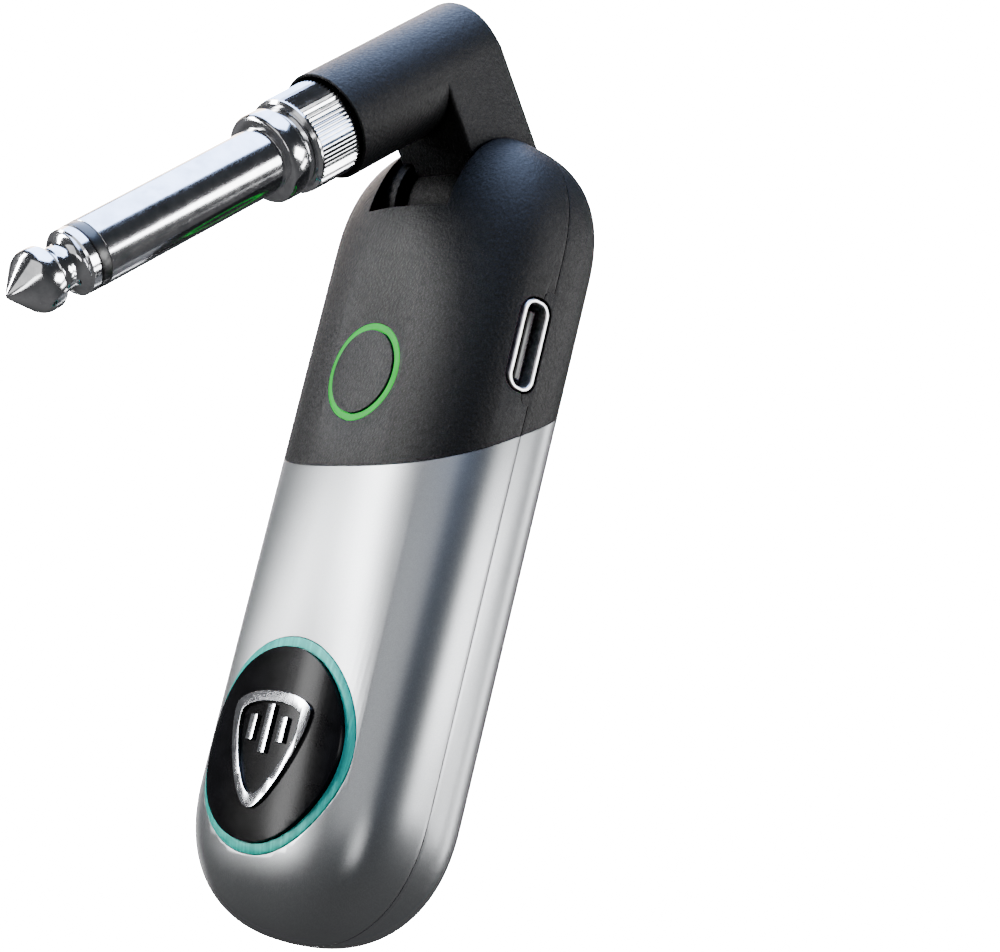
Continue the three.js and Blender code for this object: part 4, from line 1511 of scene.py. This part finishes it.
@dataclass
class Studio:
    """A plain pale floor, a pale surround, soft lights and the camera."""

    camera_place: Place = (0.210174, -0.149223, -0.077568)
    right: Place = (0.68188, 0.69506, 0.22788)
    up: Place = (-0.00474, -0.30733, 0.95159)
    back: Place = (0.73145, -0.64995, -0.20627)
    lens_mm: float = 104.59
    floor_height: float = -0.084
    lamps: tuple[Lamp, ...] = (
        Lamp("key_strip", (-0.35, -0.40, 0.08), (0.12, 0.60), 9.0),
        Lamp("key_fill", (-0.47, -0.27, 0.06), (0.50, 0.60), 0.12),
        Lamp("left_strip", (-0.50, 0.18, 0.08), (0.12, 0.50), 0.35),
        Lamp("front_fill", (0.20, -0.52, 0.05), (0.45, 0.45), 0.8),
        Lamp("low_front_strip", (0.30, -0.36, -0.22), (0.07, 0.22), 0.4),
        Lamp("overhead_softbox", (-0.05, -0.08, 0.50), (0.84, 0.42), 12.5, "#BAD2FF"),
        Lamp("rear_softbox", (-0.40, 0.17, 0.32), (0.30, 0.30), 2.4, "#FFE8D6"),
        Lamp("back_softbox", (0.16, 0.62, 0.12), (0.12, 0.50), 2.0),
        Lamp("right_strip", (0.47, 0.27, 0.10), (0.24, 0.20), 2.6),
        Lamp("right_low_strip", (0.335, 0.435, -0.01), (0.08, 0.16), 0.5),
    )

    def build_camera(self) -> None:
        """Adds the camera that looks slightly up at the transmitter."""
        camera = bpy.data.cameras.new("camera")
        camera.lens = self.lens_mm
        camera.sensor_width = 36.0
        camera.clip_start = 0.005
        holder = bpy.data.objects.new("camera", camera)
        columns = Matrix((self.right, self.up, self.back)).transposed().to_4x4()
        holder.matrix_world = Matrix.Translation(self.camera_place) @ columns
        bpy.context.scene.collection.objects.link(holder)
        bpy.context.scene.camera = holder

    def put_on_stage(self, piece: Solid, *rays: str) -> None:
        """Stages a piece, hidden from some kinds of ray."""
        for ray in rays:
            setattr(piece, f"visible_{ray}", False)

    def build_floor(self) -> None:
        """Adds the floor, a pale acrylic light table with a faint mottle."""
        clear_selection()
        bpy.ops.mesh.primitive_circle_add(
            vertices=96, radius=1.2, fill_type="NGON", location=(0, 0, self.floor_height)
        )
        floor = added("floor")
        OPAL_TABLE.dress(floor)
        self.put_on_stage(floor, "diffuse", "glossy")

    def build_surround(self) -> None:
        """Adds a wide pale surround that only the camera sees."""
        clear_selection()
        bpy.ops.mesh.primitive_uv_sphere_add(segments=48, ring_count=24, radius=1.4, location=(0, 0, 0))
        surround = added("surround")
        CYCLORAMA.dress(surround)
        self.put_on_stage(surround, "diffuse", "glossy", "transmission", "shadow")

    def build_world(self) -> None:
        """Fills the room with a dim grey, a little lighter overhead."""
        world = bpy.data.worlds.new("studio")
        bpy.context.scene.world = world
        world.use_nodes = True
        tree = world.node_tree
        tree.nodes.clear()
        way = add_node(tree, "TexCoord").outputs["Generated"]
        level = add_node(tree, "SeparateXYZ", {"Vector": way}).outputs["Z"]
        rise = add_node(tree, "MapRange", {"Value": level, "From Min": -1.0, "From Max": 1.0})
        grey = tones(tree, rise.outputs["Result"], (0.0, "#787879"), (0.5, "#434447"), (1.0, "#34363A"))
        light = add_node(tree, "Background", {"Color": grey, "Strength": 1.0})
        add_node(tree, "OutputWorld", {"Surface": light.outputs["Background"]})

    def build(self) -> None:
        """Builds the room, the lights and the camera."""
        self.build_floor()
        self.build_surround()
        self.build_world()
        for lamp in self.lamps:
            lamp.build()
            LOG.info("%s at %s", lamp.name, lamp.place)
        self.build_camera()


def main() -> None:
    """Builds the transmitter round its frame, piece by piece, and then the studio."""
    logging.basicConfig(level=logging.INFO, format="%(name)s: %(message)s")
    front = Badge("front", -1.0, "front_badge_dome", 0.45)
    rear = Badge("rear", 1.0, "rear_badge_disc", 0.1)
    button = Button()
    port = ChargingPort()
    Case().build(
        {
            "upper_front_shell": [button.hole_tool, port.hole_tool],
            "upper_rear_shell": [button.window_tool, port.hole_tool],
            "lower_front_shell": [front.pocket_tool],
            "lower_rear_shell": [rear.pocket_tool],
        }
    )
    front.build()
    rear.build()
    button.build()
    port.build()
    FoldingArm().build()
    SmallPlug().build()
    Adapter().build()
    dress_inner_parts()
    Studio().build()


if __name__ == "__main__":
    main()
